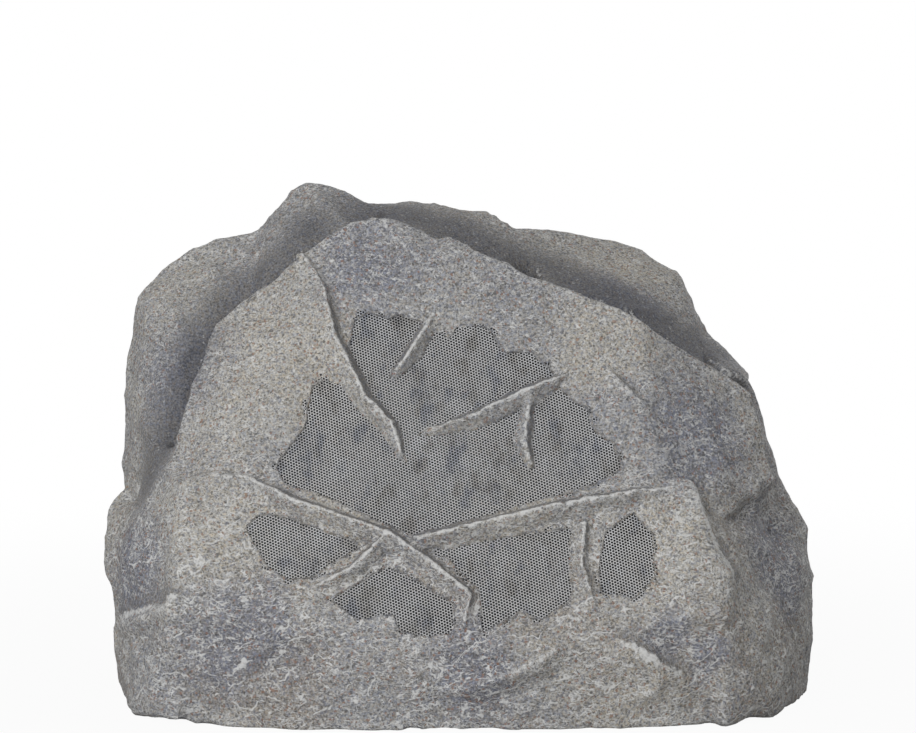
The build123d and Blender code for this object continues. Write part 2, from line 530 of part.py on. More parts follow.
def woofer_surround():
    """Rubber half roll between the cone's rim and the basket."""
    seat = WOOFER_SHEET
    top = seat + SURROUND_SKIN
    inner = CONE_RADIUS
    outer = WOOFER_BOWL_RADIUS
    middle = (inner + outer) / 2
    crest = seat + SURROUND_ROLL_HEIGHT
    edges = [ThreePointArc((outer, 0, top), (middle, 0, crest), (inner, 0, top)),
             Polyline((inner, 0, top), (inner - SURROUND_LIP, 0, top),
                      (inner - SURROUND_LIP, 0, seat), (inner, 0, seat)),
             ThreePointArc((inner, 0, seat), (middle, 0, crest - SURROUND_SKIN), (outer, 0, seat)),
             Polyline((outer, 0, seat), (outer + SURROUND_LIP, 0, seat),
                      (outer + SURROUND_LIP, 0, top), (outer, 0, top))]
    return WOOFER_SEAT * revolve(make_face(edges), Axis.Z)


def woofer_cone():
    """Straight-sided cone with a flat rim under the surround and a neck round the former."""
    rim = WOOFER_SHEET
    return WOOFER_SEAT * turned((CONE_RADIUS, rim), (CONE_RADIUS, rim - CONE_PAPER),
                                (CONE_RADIUS - FLAT_RIM, rim - CONE_PAPER),
                                (NECK_RADIUS + CONE_PAPER, CONE_NECK),
                                (NECK_RADIUS, CONE_NECK),
                                (NECK_RADIUS, CONE_NECK + CONE_PAPER),
                                (CONE_RADIUS - FLAT_RIM - CONE_PAPER, rim))


def cone_front(radius):
    """Height of the cone's front face at a radius."""
    outer = CONE_RADIUS - FLAT_RIM - CONE_PAPER
    low = CONE_NECK + CONE_PAPER
    return low + (WOOFER_SHEET - low) * (radius - NECK_RADIUS) / (outer - NECK_RADIUS)


def woofer_dust_cap():
    """Domed cap glued to the cone over the voice coil."""
    return WOOFER_SEAT * cap(DUST_CAP_RADIUS, DUST_CAP_RISE, DUST_CAP_SKIN,
                             cone_front(DUST_CAP_RADIUS) + GLUE_GAP)


def voice_coil():
    """Former with its winding, centred in the magnet's gap."""
    top = CONE_NECK + CONE_PAPER
    winding_top = GAP_MIDDLE + WINDING_HEIGHT / 2
    winding_end = GAP_MIDDLE - WINDING_HEIGHT / 2
    return WOOFER_SEAT * turned((COIL_RADIUS, top), (FORMER_RADIUS, top), (FORMER_RADIUS, winding_top),
                                (WINDING_RADIUS, winding_top), (WINDING_RADIUS, winding_end),
                                (COIL_RADIUS, winding_end))


def woofer_spider():
    """Corrugated cloth disc that centres the former, glued to the basket's ledge."""
    seat = SPIDER_SEAT
    outer = WOOFER_LEDGE_RADIUS - GLUE_GAP
    flat_edge = WOOFER_LEDGE_RADIUS - WOOFER_LEDGE_WIDTH
    steps = 2 * SPIDER_WAVES
    waves = [(flat_edge + (NECK_RADIUS - flat_edge) * i / steps, seat + SPIDER_WAVE * (i % 2))
             for i in range(steps + 1)]
    below = [(outer, seat)] + waves
    above = [(radius, height + SPIDER_SKIN) for radius, height in reversed(below)]
    return WOOFER_SEAT * turned(*below, *above)


def woofer_top_plate():
    """Front plate of the magnet, under the basket's floor."""
    return WOOFER_SEAT * ring(TOP_PLATE_RADIUS, GAP_RADIUS, -WOOFER_FLOOR_DEPTH - TOP_PLATE_THICKNESS,
                              -WOOFER_FLOOR_DEPTH)


MAGNET_TOP = -WOOFER_FLOOR_DEPTH - TOP_PLATE_THICKNESS
YOKE_TOP = MAGNET_TOP - MAGNET_THICKNESS


def woofer_magnet():
    """Ferrite ring."""
    return WOOFER_SEAT * ring(MAGNET_OUTER_RADIUS, MAGNET_INNER_RADIUS, YOKE_TOP, MAGNET_TOP)


def woofer_yoke():
    """Back plate and pole in one piece."""
    back = YOKE_TOP - YOKE_THICKNESS
    return WOOFER_SEAT * turned((0, back), (TOP_PLATE_RADIUS, back), (TOP_PLATE_RADIUS, YOKE_TOP),
                                (POLE_RADIUS, YOKE_TOP), (POLE_RADIUS, -WOOFER_FLOOR_DEPTH),
                                (0, -WOOFER_FLOOR_DEPTH))


def woofer_terminal():
    """Strip with two solder tags under the basket's ledge."""
    start = WOOFER_LEDGE_RADIUS - WOOFER_LEDGE_WIDTH + WOOFER_SHEET + GLUE_GAP
    middle = start + TERMINAL_LENGTH / 2
    strip = Box(TERMINAL_LENGTH, TERMINAL_WIDTH, TERMINAL_THICKNESS)
    tags = [Pos((TERMINAL_LENGTH + TAG_LENGTH) / 2, side * TERMINAL_WIDTH / 4, 0)
            * Box(TAG_LENGTH, TAG_WIDTH, TERMINAL_THICKNESS / 2) for side in (-1, 1)]
    place = Pos(middle, 0, -WOOFER_LEDGE_DEPTH - TERMINAL_THICKNESS / 2)
    return WOOFER_SEAT * Rot(0, 0, 90) * place * strip.fuse(*tags)


def tweeter_faceplate():
    """Moulded plate with a short flare round the dome."""
    rim = TWEETER_DOME_RADIUS + TWEETER_RIM + GLUE_GAP
    throat = TWEETER_DOME_RADIUS + TWEETER_DOME_SKIN
    top = TWEETER_PLATE_THICKNESS
    under = TWEETER_DOME_SKIN + GLUE_GAP
    plate = turned((rim, 0), (TWEETER_RADIUS, 0), (TWEETER_RADIUS, top - TWEETER_BEVEL),
                   (TWEETER_RADIUS - TWEETER_BEVEL, top), (TWEETER_MOTOR_RADIUS - top, top),
                   (throat, top / 2), (throat, under), (rim, under))
    return drilled(TWEETER_SEAT * plate, TWEETER_SCREW_SEATS, TWEETER_SCREW)


def tweeter_dome():
    """Soft dome with its flat rim, clamped between faceplate and motor."""
    skin = TWEETER_DOME_SKIN
    dome = cap(TWEETER_DOME_RADIUS, TWEETER_DOME_RISE, skin, 0)
    rim = ring(TWEETER_DOME_RADIUS + TWEETER_RIM, TWEETER_DOME_RADIUS - skin, 0, skin)
    return TWEETER_SEAT * dome.fuse(rim)


def tweeter_motor():
    """Closed magnet cup behind the faceplate."""
    radius = TWEETER_MOTOR_RADIUS
    back = -TWEETER_MOTOR_DEPTH
    return TWEETER_SEAT * turned((0, back), (radius - TWEETER_BEVEL, back),
                                 (radius, back + TWEETER_BEVEL), (radius, 0), (0, 0))


# Crossover, laid out from the middle of its board
BOARD_BOTTOM = PLATE_TOP + STANDOFF_HEIGHT
BOARD_TOP = BOARD_BOTTOM + BOARD_THICKNESS
BOARD_CORNERS = [place.position for place in GridLocations(BOARD_WIDTH - 2 * STANDOFF_INSET,
                                                          BOARD_DEPTH - 2 * STANDOFF_INSET, 2, 2)]
BOARD_SCREW_SEATS = [Pos(corner.X, corner.Y + BOARD_SETBACK, BOARD_TOP) for corner in BOARD_CORNERS]


def on_board(place, solid):
    """Solid that stands on Z = 0, set on the board."""
    across, back = place
    return Pos(across * BOARD_WIDTH / 2, BOARD_SETBACK + back * BOARD_DEPTH / 2, BOARD_TOP) * solid


def crossover_board():
    """Circuit board on four standoffs."""
    board = Box(BOARD_WIDTH, BOARD_DEPTH, BOARD_THICKNESS, align=STANDING)
    return drilled(Pos(0, BOARD_SETBACK, BOARD_BOTTOM) * board, BOARD_SCREW_SEATS, BOARD_SCREW)


def crossover_standoffs():
    """Four hexagonal pillars."""
    pillar = extrude(RegularPolygon(STANDOFF_RADIUS, 6), STANDOFF_HEIGHT)
    pillar = Pos(0, 0, PLATE_TOP - BOARD_TOP) * pillar
    return Compound(children=[drilled(seat * pillar, [seat], BOARD_SCREW)
                              for seat in BOARD_SCREW_SEATS])


def crossover_coils():
    """Two air-core coils on flanged bobbins."""
    coil = turned((INDUCTOR_BORE, 0), (INDUCTOR_RADIUS, 0), (INDUCTOR_RADIUS, INDUCTOR_FLANGE),
                  (INDUCTOR_RADIUS - INDUCTOR_FLANGE, INDUCTOR_FLANGE),
                  (INDUCTOR_RADIUS - INDUCTOR_FLANGE, INDUCTOR_HEIGHT - INDUCTOR_FLANGE),
                  (INDUCTOR_RADIUS, INDUCTOR_HEIGHT - INDUCTOR_FLANGE),
                  (INDUCTOR_RADIUS, INDUCTOR_HEIGHT), (INDUCTOR_BORE, INDUCTOR_HEIGHT))
    return Compound(children=[on_board(place, coil) for place in COIL_PLACES])


def crossover_capacitors():
    """Two film capacitors that lie on the board."""
    can = Cylinder(CAPACITOR_RADIUS, CAPACITOR_LENGTH, rotation=(0, 90, 0))
    can = chamfer(can.edges().filter_by(GeomType.CIRCLE), CAPACITOR_BEVEL)
    can = Pos(0, 0, CAPACITOR_RADIUS + GLUE_GAP) * can
    return Compound(children=[on_board(place, can) for place in CAPACITOR_PLACES])


def crossover_resistor():
    """Ceramic block resistor."""
    length, depth, height = RESISTOR_SIZE
    return on_board(RESISTOR_PLACE, Rot(0, 0, 90) * Box(length, depth, height, align=STANDING))


def crossover_terminals():
    """Two-way screw terminal for the supply cable."""
    length, depth, height = INPUT_BLOCK_SIZE
    block = Box(length, depth, height, align=STANDING)
    wire = Cylinder(INPUT_WIRE_RADIUS, depth, rotation=(90, 0, 0))
    ways = [Pos(side * length / 4, 0, height / 2) * wire for side in (-1, 1)]
    return on_board(INPUT_PLACE, block.cut(*ways))


def base_plate():
    """Moulded plate that closes the boulder from below."""
    return drilled(foot(PLATE_INSET, PLATE_LIFT, PLATE_THICKNESS), BASE_SCREW_SEATS, BASE_SCREW)


def base_gasket():
    """Foam seal between the base plate and the ledge."""
    seal = foot(PLATE_INSET, PLATE_TOP, BASE_GASKET_THICKNESS)
    seal -= foot(LEDGE_INSET, PLATE_TOP, BASE_GASKET_THICKNESS)
    return drilled(seal, BASE_SCREW_SEATS, BASE_SCREW)


def cable_grommet():
    """Rubber ring snapped into the cable hole."""
    front = GROMMET_FLANGE_THICKNESS
    neck = GROMMET_NECK - GROMMET_PLAY
    lip = GROMMET_NECK + GROMMET_LIP
    end = -BOSS_DEPTH - GROMMET_LIP
    return GROMMET_SEAT * turned((GROMMET_BORE, front), (GROMMET_FLANGE, front), (GROMMET_FLANGE, 0),
                                 (neck, 0), (neck, -BOSS_DEPTH), (lip, -BOSS_DEPTH), (neck, end),
                                 (GROMMET_BORE, end))


os.makedirs("parts", exist_ok=True)
PIECES = [rock_shell, grille_panel, baffle, baffle_gasket, woofer_basket, woofer_gasket,
          woofer_surround, woofer_cone, woofer_dust_cap, voice_coil, woofer_spider,
          woofer_top_plate, woofer_magnet, woofer_yoke, woofer_terminal, tweeter_faceplate,
          tweeter_dome, tweeter_motor, crossover_board, crossover_standoffs, crossover_coils,
          crossover_capacitors, crossover_resistor, crossover_terminals, base_plate, base_gasket,
          cable_grommet]
for piece in PIECES:
    export_step(piece(), f"parts/{piece.__name__}.step")
FASTENERS = {"baffle_screws": (BAFFLE_SCREW_SEATS, BAFFLE_SCREW),
             "woofer_screws": (WOOFER_SCREW_SEATS, WOOFER_SCREW),
             "tweeter_screws": (TWEETER_SCREW_SEATS, TWEETER_SCREW),
             "crossover_screws": (BOARD_SCREW_SEATS, BOARD_SCREW),
             "base_screws": (BASE_SCREW_SEATS, BASE_SCREW)}
for name, (seats, kind) in FASTENERS.items():
    export_step(screws(seats, kind), f"parts/{name}.step")
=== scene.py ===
import math

import bmesh
import bpy
import numpy as np
from mathutils import Matrix, Vector
from mathutils.bvhtree import BVHTree
from mathutils.kdtree import KDTree


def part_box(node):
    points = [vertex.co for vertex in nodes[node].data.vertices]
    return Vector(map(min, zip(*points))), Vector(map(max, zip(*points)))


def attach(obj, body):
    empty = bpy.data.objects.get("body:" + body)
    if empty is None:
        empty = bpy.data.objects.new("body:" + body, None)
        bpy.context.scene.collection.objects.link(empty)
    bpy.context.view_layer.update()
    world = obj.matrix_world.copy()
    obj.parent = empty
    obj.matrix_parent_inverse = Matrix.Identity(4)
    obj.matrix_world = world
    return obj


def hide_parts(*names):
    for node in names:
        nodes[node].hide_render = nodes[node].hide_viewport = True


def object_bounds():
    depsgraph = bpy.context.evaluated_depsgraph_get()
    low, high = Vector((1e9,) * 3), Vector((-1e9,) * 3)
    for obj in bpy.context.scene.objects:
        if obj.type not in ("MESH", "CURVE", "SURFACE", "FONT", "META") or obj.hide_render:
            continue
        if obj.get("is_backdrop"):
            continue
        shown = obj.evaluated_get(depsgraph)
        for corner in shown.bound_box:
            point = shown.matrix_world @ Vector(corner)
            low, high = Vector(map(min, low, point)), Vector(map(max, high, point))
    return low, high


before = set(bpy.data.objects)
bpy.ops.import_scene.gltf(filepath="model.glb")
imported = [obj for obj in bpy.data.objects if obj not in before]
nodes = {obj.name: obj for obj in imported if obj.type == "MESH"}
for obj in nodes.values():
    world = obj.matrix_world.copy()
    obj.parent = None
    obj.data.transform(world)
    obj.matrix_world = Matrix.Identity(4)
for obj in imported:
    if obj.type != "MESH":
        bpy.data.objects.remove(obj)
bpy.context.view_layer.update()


# Granite paint: a grey and tan base is sprayed over the whole boulder and its sheet, spattered
# with rust, blue and black, and brushed nearly dry with white, which stays on what stands proud.
def wired(tree, kind, inputs=None, **settings):
    """New shader node with its settings, and its inputs set or linked."""
    made = tree.nodes.new(kind)
    for name, value in settings.items():
        setattr(made, name, value)
    for name, value in (inputs or {}).items():
        if isinstance(value, bpy.types.NodeSocket):
            tree.links.new(value, made.inputs[name])
        else:
            made.inputs[name].default_value = value
    return made


def mixed(tree, factor, first, second, blend_type="MIX"):
    """Colour between two colours."""
    mix = wired(tree, "ShaderNodeMix", {0: factor, 6: first, 7: second}, data_type="RGBA",
                blend_type=blend_type)
    return mix.outputs[2]


def spread(tree, value, low, high, bottom=0.0, top=1.0):
    """Value stretched between two limits with soft ends."""
    stretch = wired(tree, "ShaderNodeMapRange",
                    {"Value": value, "From Min": low, "From Max": high, "To Min": bottom,
                     "To Max": top},
                    interpolation_type="SMOOTHSTEP")
    return stretch.outputs["Result"]


def worked(tree, operation, first, second=0.0):
    """Sum, product or other result of two values."""
    return wired(tree, "ShaderNodeMath", {0: first, 1: second}, operation=operation).outputs[0]


def noisy(tree, place, scale, detail=2.0, roughness=0.5, distortion=0.0):
    """Noise between 0 and 1, with a scale in patches per metre."""
    noise = wired(tree, "ShaderNodeTexNoise", {"Vector": place, "Scale": scale, "Detail": detail,
                                               "Roughness": roughness, "Distortion": distortion})
    return noise.outputs["Fac"]


def moved(tree, place, offset=(0, 0, 0), turn=(0, 0, 0), scale=(1, 1, 1)):
    """Place that is shifted, turned or stretched before a pattern reads it."""
    return wired(tree, "ShaderNodeMapping", {"Vector": place, "Location": offset, "Rotation": turn,
                                             "Scale": scale}).outputs["Vector"]


def times(tree, first, second):
    """Product of two values."""
    return worked(tree, "MULTIPLY", first, second)


def threads(tree, noise, full, none):
    """Thin lines along the middle level of a noise."""
    off_middle = worked(tree, "ABSOLUTE", worked(tree, "SUBTRACT", noise, 0.5))
    return spread(tree, off_middle, full, none, 1.0, 0.0)


granite = bpy.data.node_groups.new("granite_paint", "ShaderNodeTree")
for name, kind in (("Place", "NodeSocketVector"), ("Crest", "NodeSocketFloat"),
                   ("Hollow", "NodeSocketFloat"), ("Proud", "NodeSocketFloat"),
                   ("Streaks", "NodeSocketFloat")):
    granite.interface.new_socket(name, in_out="INPUT", socket_type=kind)
for name, kind in (("Color", "NodeSocketColor"), ("Height", "NodeSocketFloat")):
    granite.interface.new_socket(name, in_out="OUTPUT", socket_type=kind)
given = granite.nodes.new("NodeGroupInput").outputs
place = given["Place"]
up = wired(granite, "ShaderNodeSeparateXYZ", {"Vector": place}).outputs["Z"]


def patches(offset, scale, detail=3.0, roughness=0.5):
    """Noise of the granite paint, with an offset that sets it apart from the others."""
    return noisy(granite, moved(granite, given["Place"], offset), scale, detail, roughness)


# Sprayed coats: clouds of grey and tan, cool patches, browner and darker low down, single spots of tan
# and of blue grey (the blue grey partly painted shade in recesses), with their place and reach in
# millimetres, and painted shade in the hollows
cloud = spread(granite, noisy(granite, place, 9.0, 3.0, 0.5), 0.34, 0.62)
coat = mixed(granite, cloud, (0.305, 0.303, 0.305, 1), (0.372, 0.360, 0.334, 1))
cool = spread(granite, patches((3.1, 0.7, 1.9), 12.0), 0.50, 0.70)
coat = mixed(granite, times(granite, cool, 0.50), coat, (0.222, 0.227, 0.248, 1))
# Browner and darker towards the bottom
browner_low_down = spread(granite, patches((1.1, 5.7, 2.9), 14.0), 0.40, 0.62)
browner_low_down = times(granite, browner_low_down, spread(granite, up, 0.05, 0.20, 1.0, 0.0))
coat = mixed(granite, times(granite, browner_low_down, 0.65), coat, (0.262, 0.240, 0.218, 1))
tan_spots = [((-120, -85, 225), 75), ((-140, -160, 115), 60), ((130, -160, 115), 50),
             ((95, -95, 240), 45), ((-200, 0, 248), 36), ((115, 25, 278), 45),
             ((110, -188, 22), 60), ((30, -152, 138), 45), ((-85, -150, 140), 34)]
# Blue grey spots, partly painted shade: the two small ones by the right ledge are painted shade in its
# recess
blue_spots_and_painted_shade = [((-60, -68, 290), 50), ((155, -105, 178), 62), ((-140, -178, 62), 55),
              ((-206, -115, 95), 58), ((10, -188, 38), 46), ((110, -15, 255), 50),
              ((138, -181, 59), 19), ((160, -177, 45), 19), ((212, -85, 95), 60),
              ((-178, -60, 215), 55)]
drift = times(granite, patches((9.1, 4.7, 6.9), 30.0, roughness=0.6), 0.05)
for spots, strength, colour in ((tan_spots, 0.80, (0.416, 0.396, 0.356, 1)),
                                (blue_spots_and_painted_shade, 0.75, (0.188, 0.195, 0.230, 1))):
    for middle, reach in spots:
        away = wired(granite, "ShaderNodeVectorMath", {0: place, 1: Vector(middle) / 1000},
                     operation="DISTANCE").outputs["Value"]
        sprayed = spread(granite, worked(granite, "ADD", away, drift), 0.025 + 0.0003 * reach,
                         0.025 + 0.001 * reach, strength, 0.0)
        coat = mixed(granite, sprayed, coat, colour)
# Painted shade: the hollow input darkens the coat towards a dark blue grey
coat = mixed(granite, times(granite, given["Hollow"], 0.82), coat, (0.105, 0.106, 0.116, 1))

# Grain and spatter: light and dark specks, blue and tan tints, and drops of four colours
grain = noisy(granite, place, 780.0, 2.0, 0.6)
tone = wired(granite, "ShaderNodeMapRange", {"Value": grain, "From Min": 0.25, "From Max": 0.75,
                                             "To Min": 0.32, "To Max": 1.68}).outputs["Result"]
coat = mixed(granite, 1.0, coat, tone, "MULTIPLY")
tint = patches((8.8, 3.3, 2.1), 480.0, 2.0, 0.6)
bluish = spread(granite, tint, 0.48, 0.68, 0.0, 0.55)
coat = mixed(granite, bluish, coat, (0.84, 0.94, 1.18, 1), "MULTIPLY")
tanned = spread(granite, tint, 0.52, 0.32, 0.0, 0.55)
coat = mixed(granite, tanned, coat, (1.13, 1.00, 0.82, 1), "MULTIPLY")
# Flecks and white strokes thin out under the painted shade
outside_painted_shade = spread(granite, given["Hollow"], 0.1, 0.7, 1.0, 0.12)
flecks = wired(granite, "ShaderNodeTexVoronoi", {"Vector": place, "Scale": 700.0, "Randomness": 1.0})
fleck = wired(granite, "ShaderNodeSeparateColor", {"Color": flecks.outputs["Color"]})
for channel, edge, strength, colour in (("Red", 0.87, 0.60, (0.080, 0.078, 0.075, 1)),
                                        ("Green", 0.88, 0.50, (0.165, 0.176, 0.220, 1)),
                                        ("Blue", 0.940, 0.65, (0.270, 0.150, 0.100, 1)),
                                        ("Blue", 0.100, 0.50, (0.580, 0.575, 0.555, 1))):
    side = 0.02 if edge > 0.5 else -0.02
    dropped = spread(granite, fleck.outputs[channel], edge, edge + side, 0.0, strength)
    coat = mixed(granite, times(granite, dropped, outside_painted_shade), coat, colour)

# White, brushed on nearly dry: short strokes on what stands proud, waving lines low down, and the
# ragged edges of the crests
short = moved(granite, place, (7.7, 2.2, 5.1), scale=(0.7, 0.7, 1.2))
short = threads(granite, noisy(granite, short, 300.0, 1.0, 0.5, 0.6), 0.015, 0.040)
broken = spread(granite, patches((1.3, 8.2, 4.4), 170.0, 2.0, 0.6), 0.46, 0.56)
broken = worked(granite, "MAXIMUM", times(granite, broken, 0.85), given["Proud"])
short = times(granite, short, broken)
lines = moved(granite, place, (4.4, 6.1, 0.3), scale=(0.55, 0.55, 1.35))
lines = threads(granite, noisy(granite, lines, 170.0, 1.5, 0.5, 0.9), 0.012, 0.030)
brushed = spread(granite, patches((2.7, 9.2, 7.1), 22.0, roughness=0.6), 0.36, 0.52)
brushed = times(granite, brushed, spread(granite, up, 0.10, 0.24, 1.0, 0.35))
parted = spread(granite, patches((6.3, 1.2, 3.4), 120.0, 2.0, 0.6), 0.40, 0.50)
lines = times(granite, times(granite, lines, parted), brushed)
slanted = moved(granite, place, (0.3, 0.1, 0.0), (0.0, 0.35, 0.3))
bends = wired(granite, "ShaderNodeTexWave", {"Vector": slanted, "Scale": 24.0, "Distortion": 12.0,
                                             "Detail": 3.0, "Detail Scale": 1.5,
                                             "Detail Roughness": 0.6},
              bands_direction="Z").outputs["Fac"]
bends = spread(granite, bends, 0.945, 0.995, 0.0, 0.95)
ended = spread(granite, patches((0.7, 2.9, 6.6), 60.0, 3.0, 0.65), 0.46, 0.56)
ended = times(granite, ended, spread(granite, up, 0.11, 0.20, 1.0, 0.15))
lines = worked(granite, "MAXIMUM", lines, times(granite, bends, ended))
lines = times(granite, lines, spread(granite, grain, 0.30, 0.50, 0.45, 1.0))
scuffed = times(granite, patches((5.3, 3.2, 8.4), 230.0, 2.0, 0.6), 1.6)
scuffed = worked(granite, "ADD", scuffed, times(granite, grain, 0.6))
edges = spread(granite, worked(granite, "ADD", given["Crest"], scuffed), 1.30, 1.66, 0.0, 0.95)
ragged = spread(granite, patches((3.9, 7.4, 1.6), 330.0, 2.0, 0.6), 0.38, 0.52, 0.40, 1.0)
edges = times(granite, edges, ragged)
strokes = worked(granite, "MAXIMUM", short, lines)
strokes = times(granite, strokes, times(granite, given["Streaks"], outside_painted_shade))
white = worked(granite, "MAXIMUM", strokes, edges)
coat = mixed(granite, times(granite, white, 0.85), coat, (0.720, 0.722, 0.715, 1))
height = worked(granite, "ADD", times(granite, grain, 0.55), times(granite, white, 0.35))
wired(granite, "NodeGroupOutput", {"Color": coat, "Height": height})


# The boulder is one hollow moulding of glass-fibre resin, laid up in a mould taken from real
# rock. The solids give its stones, windows and ridges: here their edges are worn round and the
# faces get the lumps of the mould, while the hollow inside stays as the solids have it.
def standing(name, shape):
    """New object of a bmesh, at the origin."""
    mesh = bpy.data.meshes.new(name)
    shape.to_mesh(mesh)
    shape.free()
    piece = bpy.data.objects.new(name, mesh)
    bpy.context.scene.collection.objects.link(piece)
    return piece


def solid_of(node):
    """Merged copy of a solid's mesh."""
    shape = bmesh.new()
    shape.from_mesh(nodes[node].data)
    bmesh.ops.remove_doubles(shape, verts=shape.verts, dist=1e-6)
    return shape


def hull_of(node):
    """Plug in the outline of a solid, with its holes closed."""
    shape = solid_of(node)
    bmesh.ops.delete(shape, geom=shape.faces[:] + shape.edges[:], context="EDGES_FACES")
    hull = bmesh.ops.convex_hull(shape, input=shape.verts)
    spare = list({*hull["geom_interior"], *hull["geom_unused"]})
    bmesh.ops.delete(shape, geom=spare, context="VERTS")
    return shape


def settled(piece):
    """The piece with its modifiers worked into its mesh."""
    graph = bpy.context.evaluated_depsgraph_get()
    mesh = bpy.data.meshes.new_from_object(piece.evaluated_get(graph))
    piece.modifiers.clear()
    piece.data = mesh
    return piece


def carved(piece, tool, operation="DIFFERENCE"):
    """The piece with a tool's shape cut from it or added to it."""
    cut = piece.modifiers.new("carve", "BOOLEAN")
    cut.operation = operation
    cut.solver = "MANIFOLD"
    cut.object = tool
    settled(piece)
    bpy.data.objects.remove(tool)
    return piece


sheet_lean = math.radians(28)
sheet_thickness = 0.0012
sheet_middle = Matrix.Translation((0, -0.133, 0.158015))
sheet_place = sheet_middle @ Matrix.Rotation(math.pi / 2 - sheet_lean, 4, "X")


def sheet_slab(grown, low, high):
    """Slab in the outline of the grille sheet, between two heights over its face."""
    shape = hull_of("grille_panel")
    tall = (high - low) / sheet_thickness
    fit = Matrix.Translation((0, 0, high)) @ Matrix.Diagonal((grown, grown, tall, 1))
    bmesh.ops.transform(shape, matrix=sheet_place @ fit @ sheet_place.inverted(), verts=shape.verts)
    return shape


def foot_slab(grown, low, high):
    """Slab in the outline of the base plate, between two heights over the ground."""
    shape = solid_of("base_plate")
    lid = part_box("base_plate")[1].z
    walls = [face for face in shape.faces if face.calc_center_median().z < lid - 0.00001]
    bmesh.ops.delete(shape, geom=walls, context="FACES")
    open_edges = [edge for edge in shape.edges if edge.is_boundary]
    rim = [min(open_edges, key=lambda edge: edge.verts[0].co.x)]
    for edge in rim:
        rim += [near for end in edge.verts for near in end.link_edges
                if near.is_boundary and near not in rim]
    spare = [edge for edge in shape.edges if edge not in rim]
    bmesh.ops.delete(shape, geom=spare, context="EDGES_FACES")
    loop = [edge for edge in shape.edges if edge.is_valid]
    bmesh.ops.triangle_fill(shape, edges=loop, use_beauty=True)
    fit = Matrix.Translation((0, 0, low)) @ Matrix.Diagonal((grown, grown, 0, 1))
    bmesh.ops.transform(shape, matrix=fit, verts=shape.verts)
    raised = bmesh.ops.extrude_face_region(shape, geom=shape.faces[:])["geom"]
    lifted = [end for end in raised if isinstance(end, bmesh.types.BMVert)]
    bmesh.ops.translate(shape, vec=(0, 0, high - low), verts=lifted)
    bmesh.ops.recalc_face_normals(shape, faces=shape.faces)
    return shape


cable_seat = Vector((0, 0.1877, 0.040))


def cable_rod(radius, inner, outer):
    """Rod on the axis of the cable hole, between two distances out from its seat."""
    rod = bmesh.new()
    middle = Matrix.Translation(cable_seat + Vector((0, (inner + outer) / 2, 0)))
    bmesh.ops.create_cone(rod, cap_ends=True, segments=64, radius1=radius, radius2=radius,
                          depth=outer - inner, matrix=middle @ Matrix.Rotation(math.pi / 2, 4, "X"))
    return rod


# The blank is the solid with its openings plugged, and the hollow is the inside of that
blank = standing("rock_blank", solid_of("rock_shell"))
carved(blank, standing("front_plug", sheet_slab(1.012, -0.0021, -0.0009)), "UNION")
carved(blank, standing("foot_plug", foot_slab(1.02, 0.0, 0.01306)), "UNION")
carved(blank, standing("cable_plug", cable_rod(0.0123, -0.002, 0.0025)), "UNION")

inside = bmesh.new()
inside.from_mesh(blank.data)
outer_faces = set()
waiting = [min(inside.verts, key=lambda corner: corner.co.y).link_faces[0]]
while waiting:
    face = waiting.pop()
    if face not in outer_faces:
        outer_faces.add(face)
        waiting += [near for edge in face.edges for near in edge.link_faces]
bmesh.ops.delete(inside, geom=list(outer_faces), context="FACES")
bmesh.ops.reverse_faces(inside, faces=inside.faces)
hollow = standing("rock_hollow", inside)

rough = bmesh.new()
rough.from_mesh(blank.data)


def lump(points):
    """Convex lump of rock through a few points, in millimetres."""
    corners = [rough.verts.new(Vector(point) / 1000) for point in points]
    hull = bmesh.ops.convex_hull(rough, input=corners)
    spare = list({*hull["geom_interior"], *hull["geom_unused"]})
    bmesh.ops.delete(rough, geom=spare, context="VERTS")


def wedges(crest, outs, steep_side, steep, long):
    """Row of wedges under a crest of places and rises in millimetres, steep on one side."""
    rows = []
    for at, (place, rise) in enumerate(crest):
        along = Vector(crest[min(at + 1, len(crest) - 1)][0]) - Vector(crest[max(at - 1, 0)][0])
        over = outs[at].cross(along).normalized() * steep_side
        rows.append([Vector(place) + outs[at] * rise,
                     Vector(place) + over * rise * steep - outs[at],
                     Vector(place) - over * rise * long - outs[at]])
    for first, second in zip(rows, rows[1:]):
        lump(first + second)


in_front = Vector((0, -2.34, 0.485))
ledge_reach = 0.02


def ledge(points, rises, steep_side, steep, long):
    """Ledge that runs along a line on the rock, found as it is seen from in front."""
    found = []
    for point in points:
        place = Vector(point) / 1000
        hit = skin.ray_cast(in_front, place - in_front)
        if hit[0] is None or (hit[0] - place).length >= ledge_reach:
            hit = skin.find_nearest(place)
        found.append(hit)
    wedges([(hit[0] * 1000, rise) for hit, rise in zip(found, rises)], [hit[1] for hit in found],
           steep_side, steep, long)


def on_sheet(line):
    """Crest in the plane of the sheet, from millimetres across and up it and a rise."""
    return [(sheet_place @ Vector((across / 1000, up / 1000, 0)) * 1000, rise)
            for across, up, rise in line]


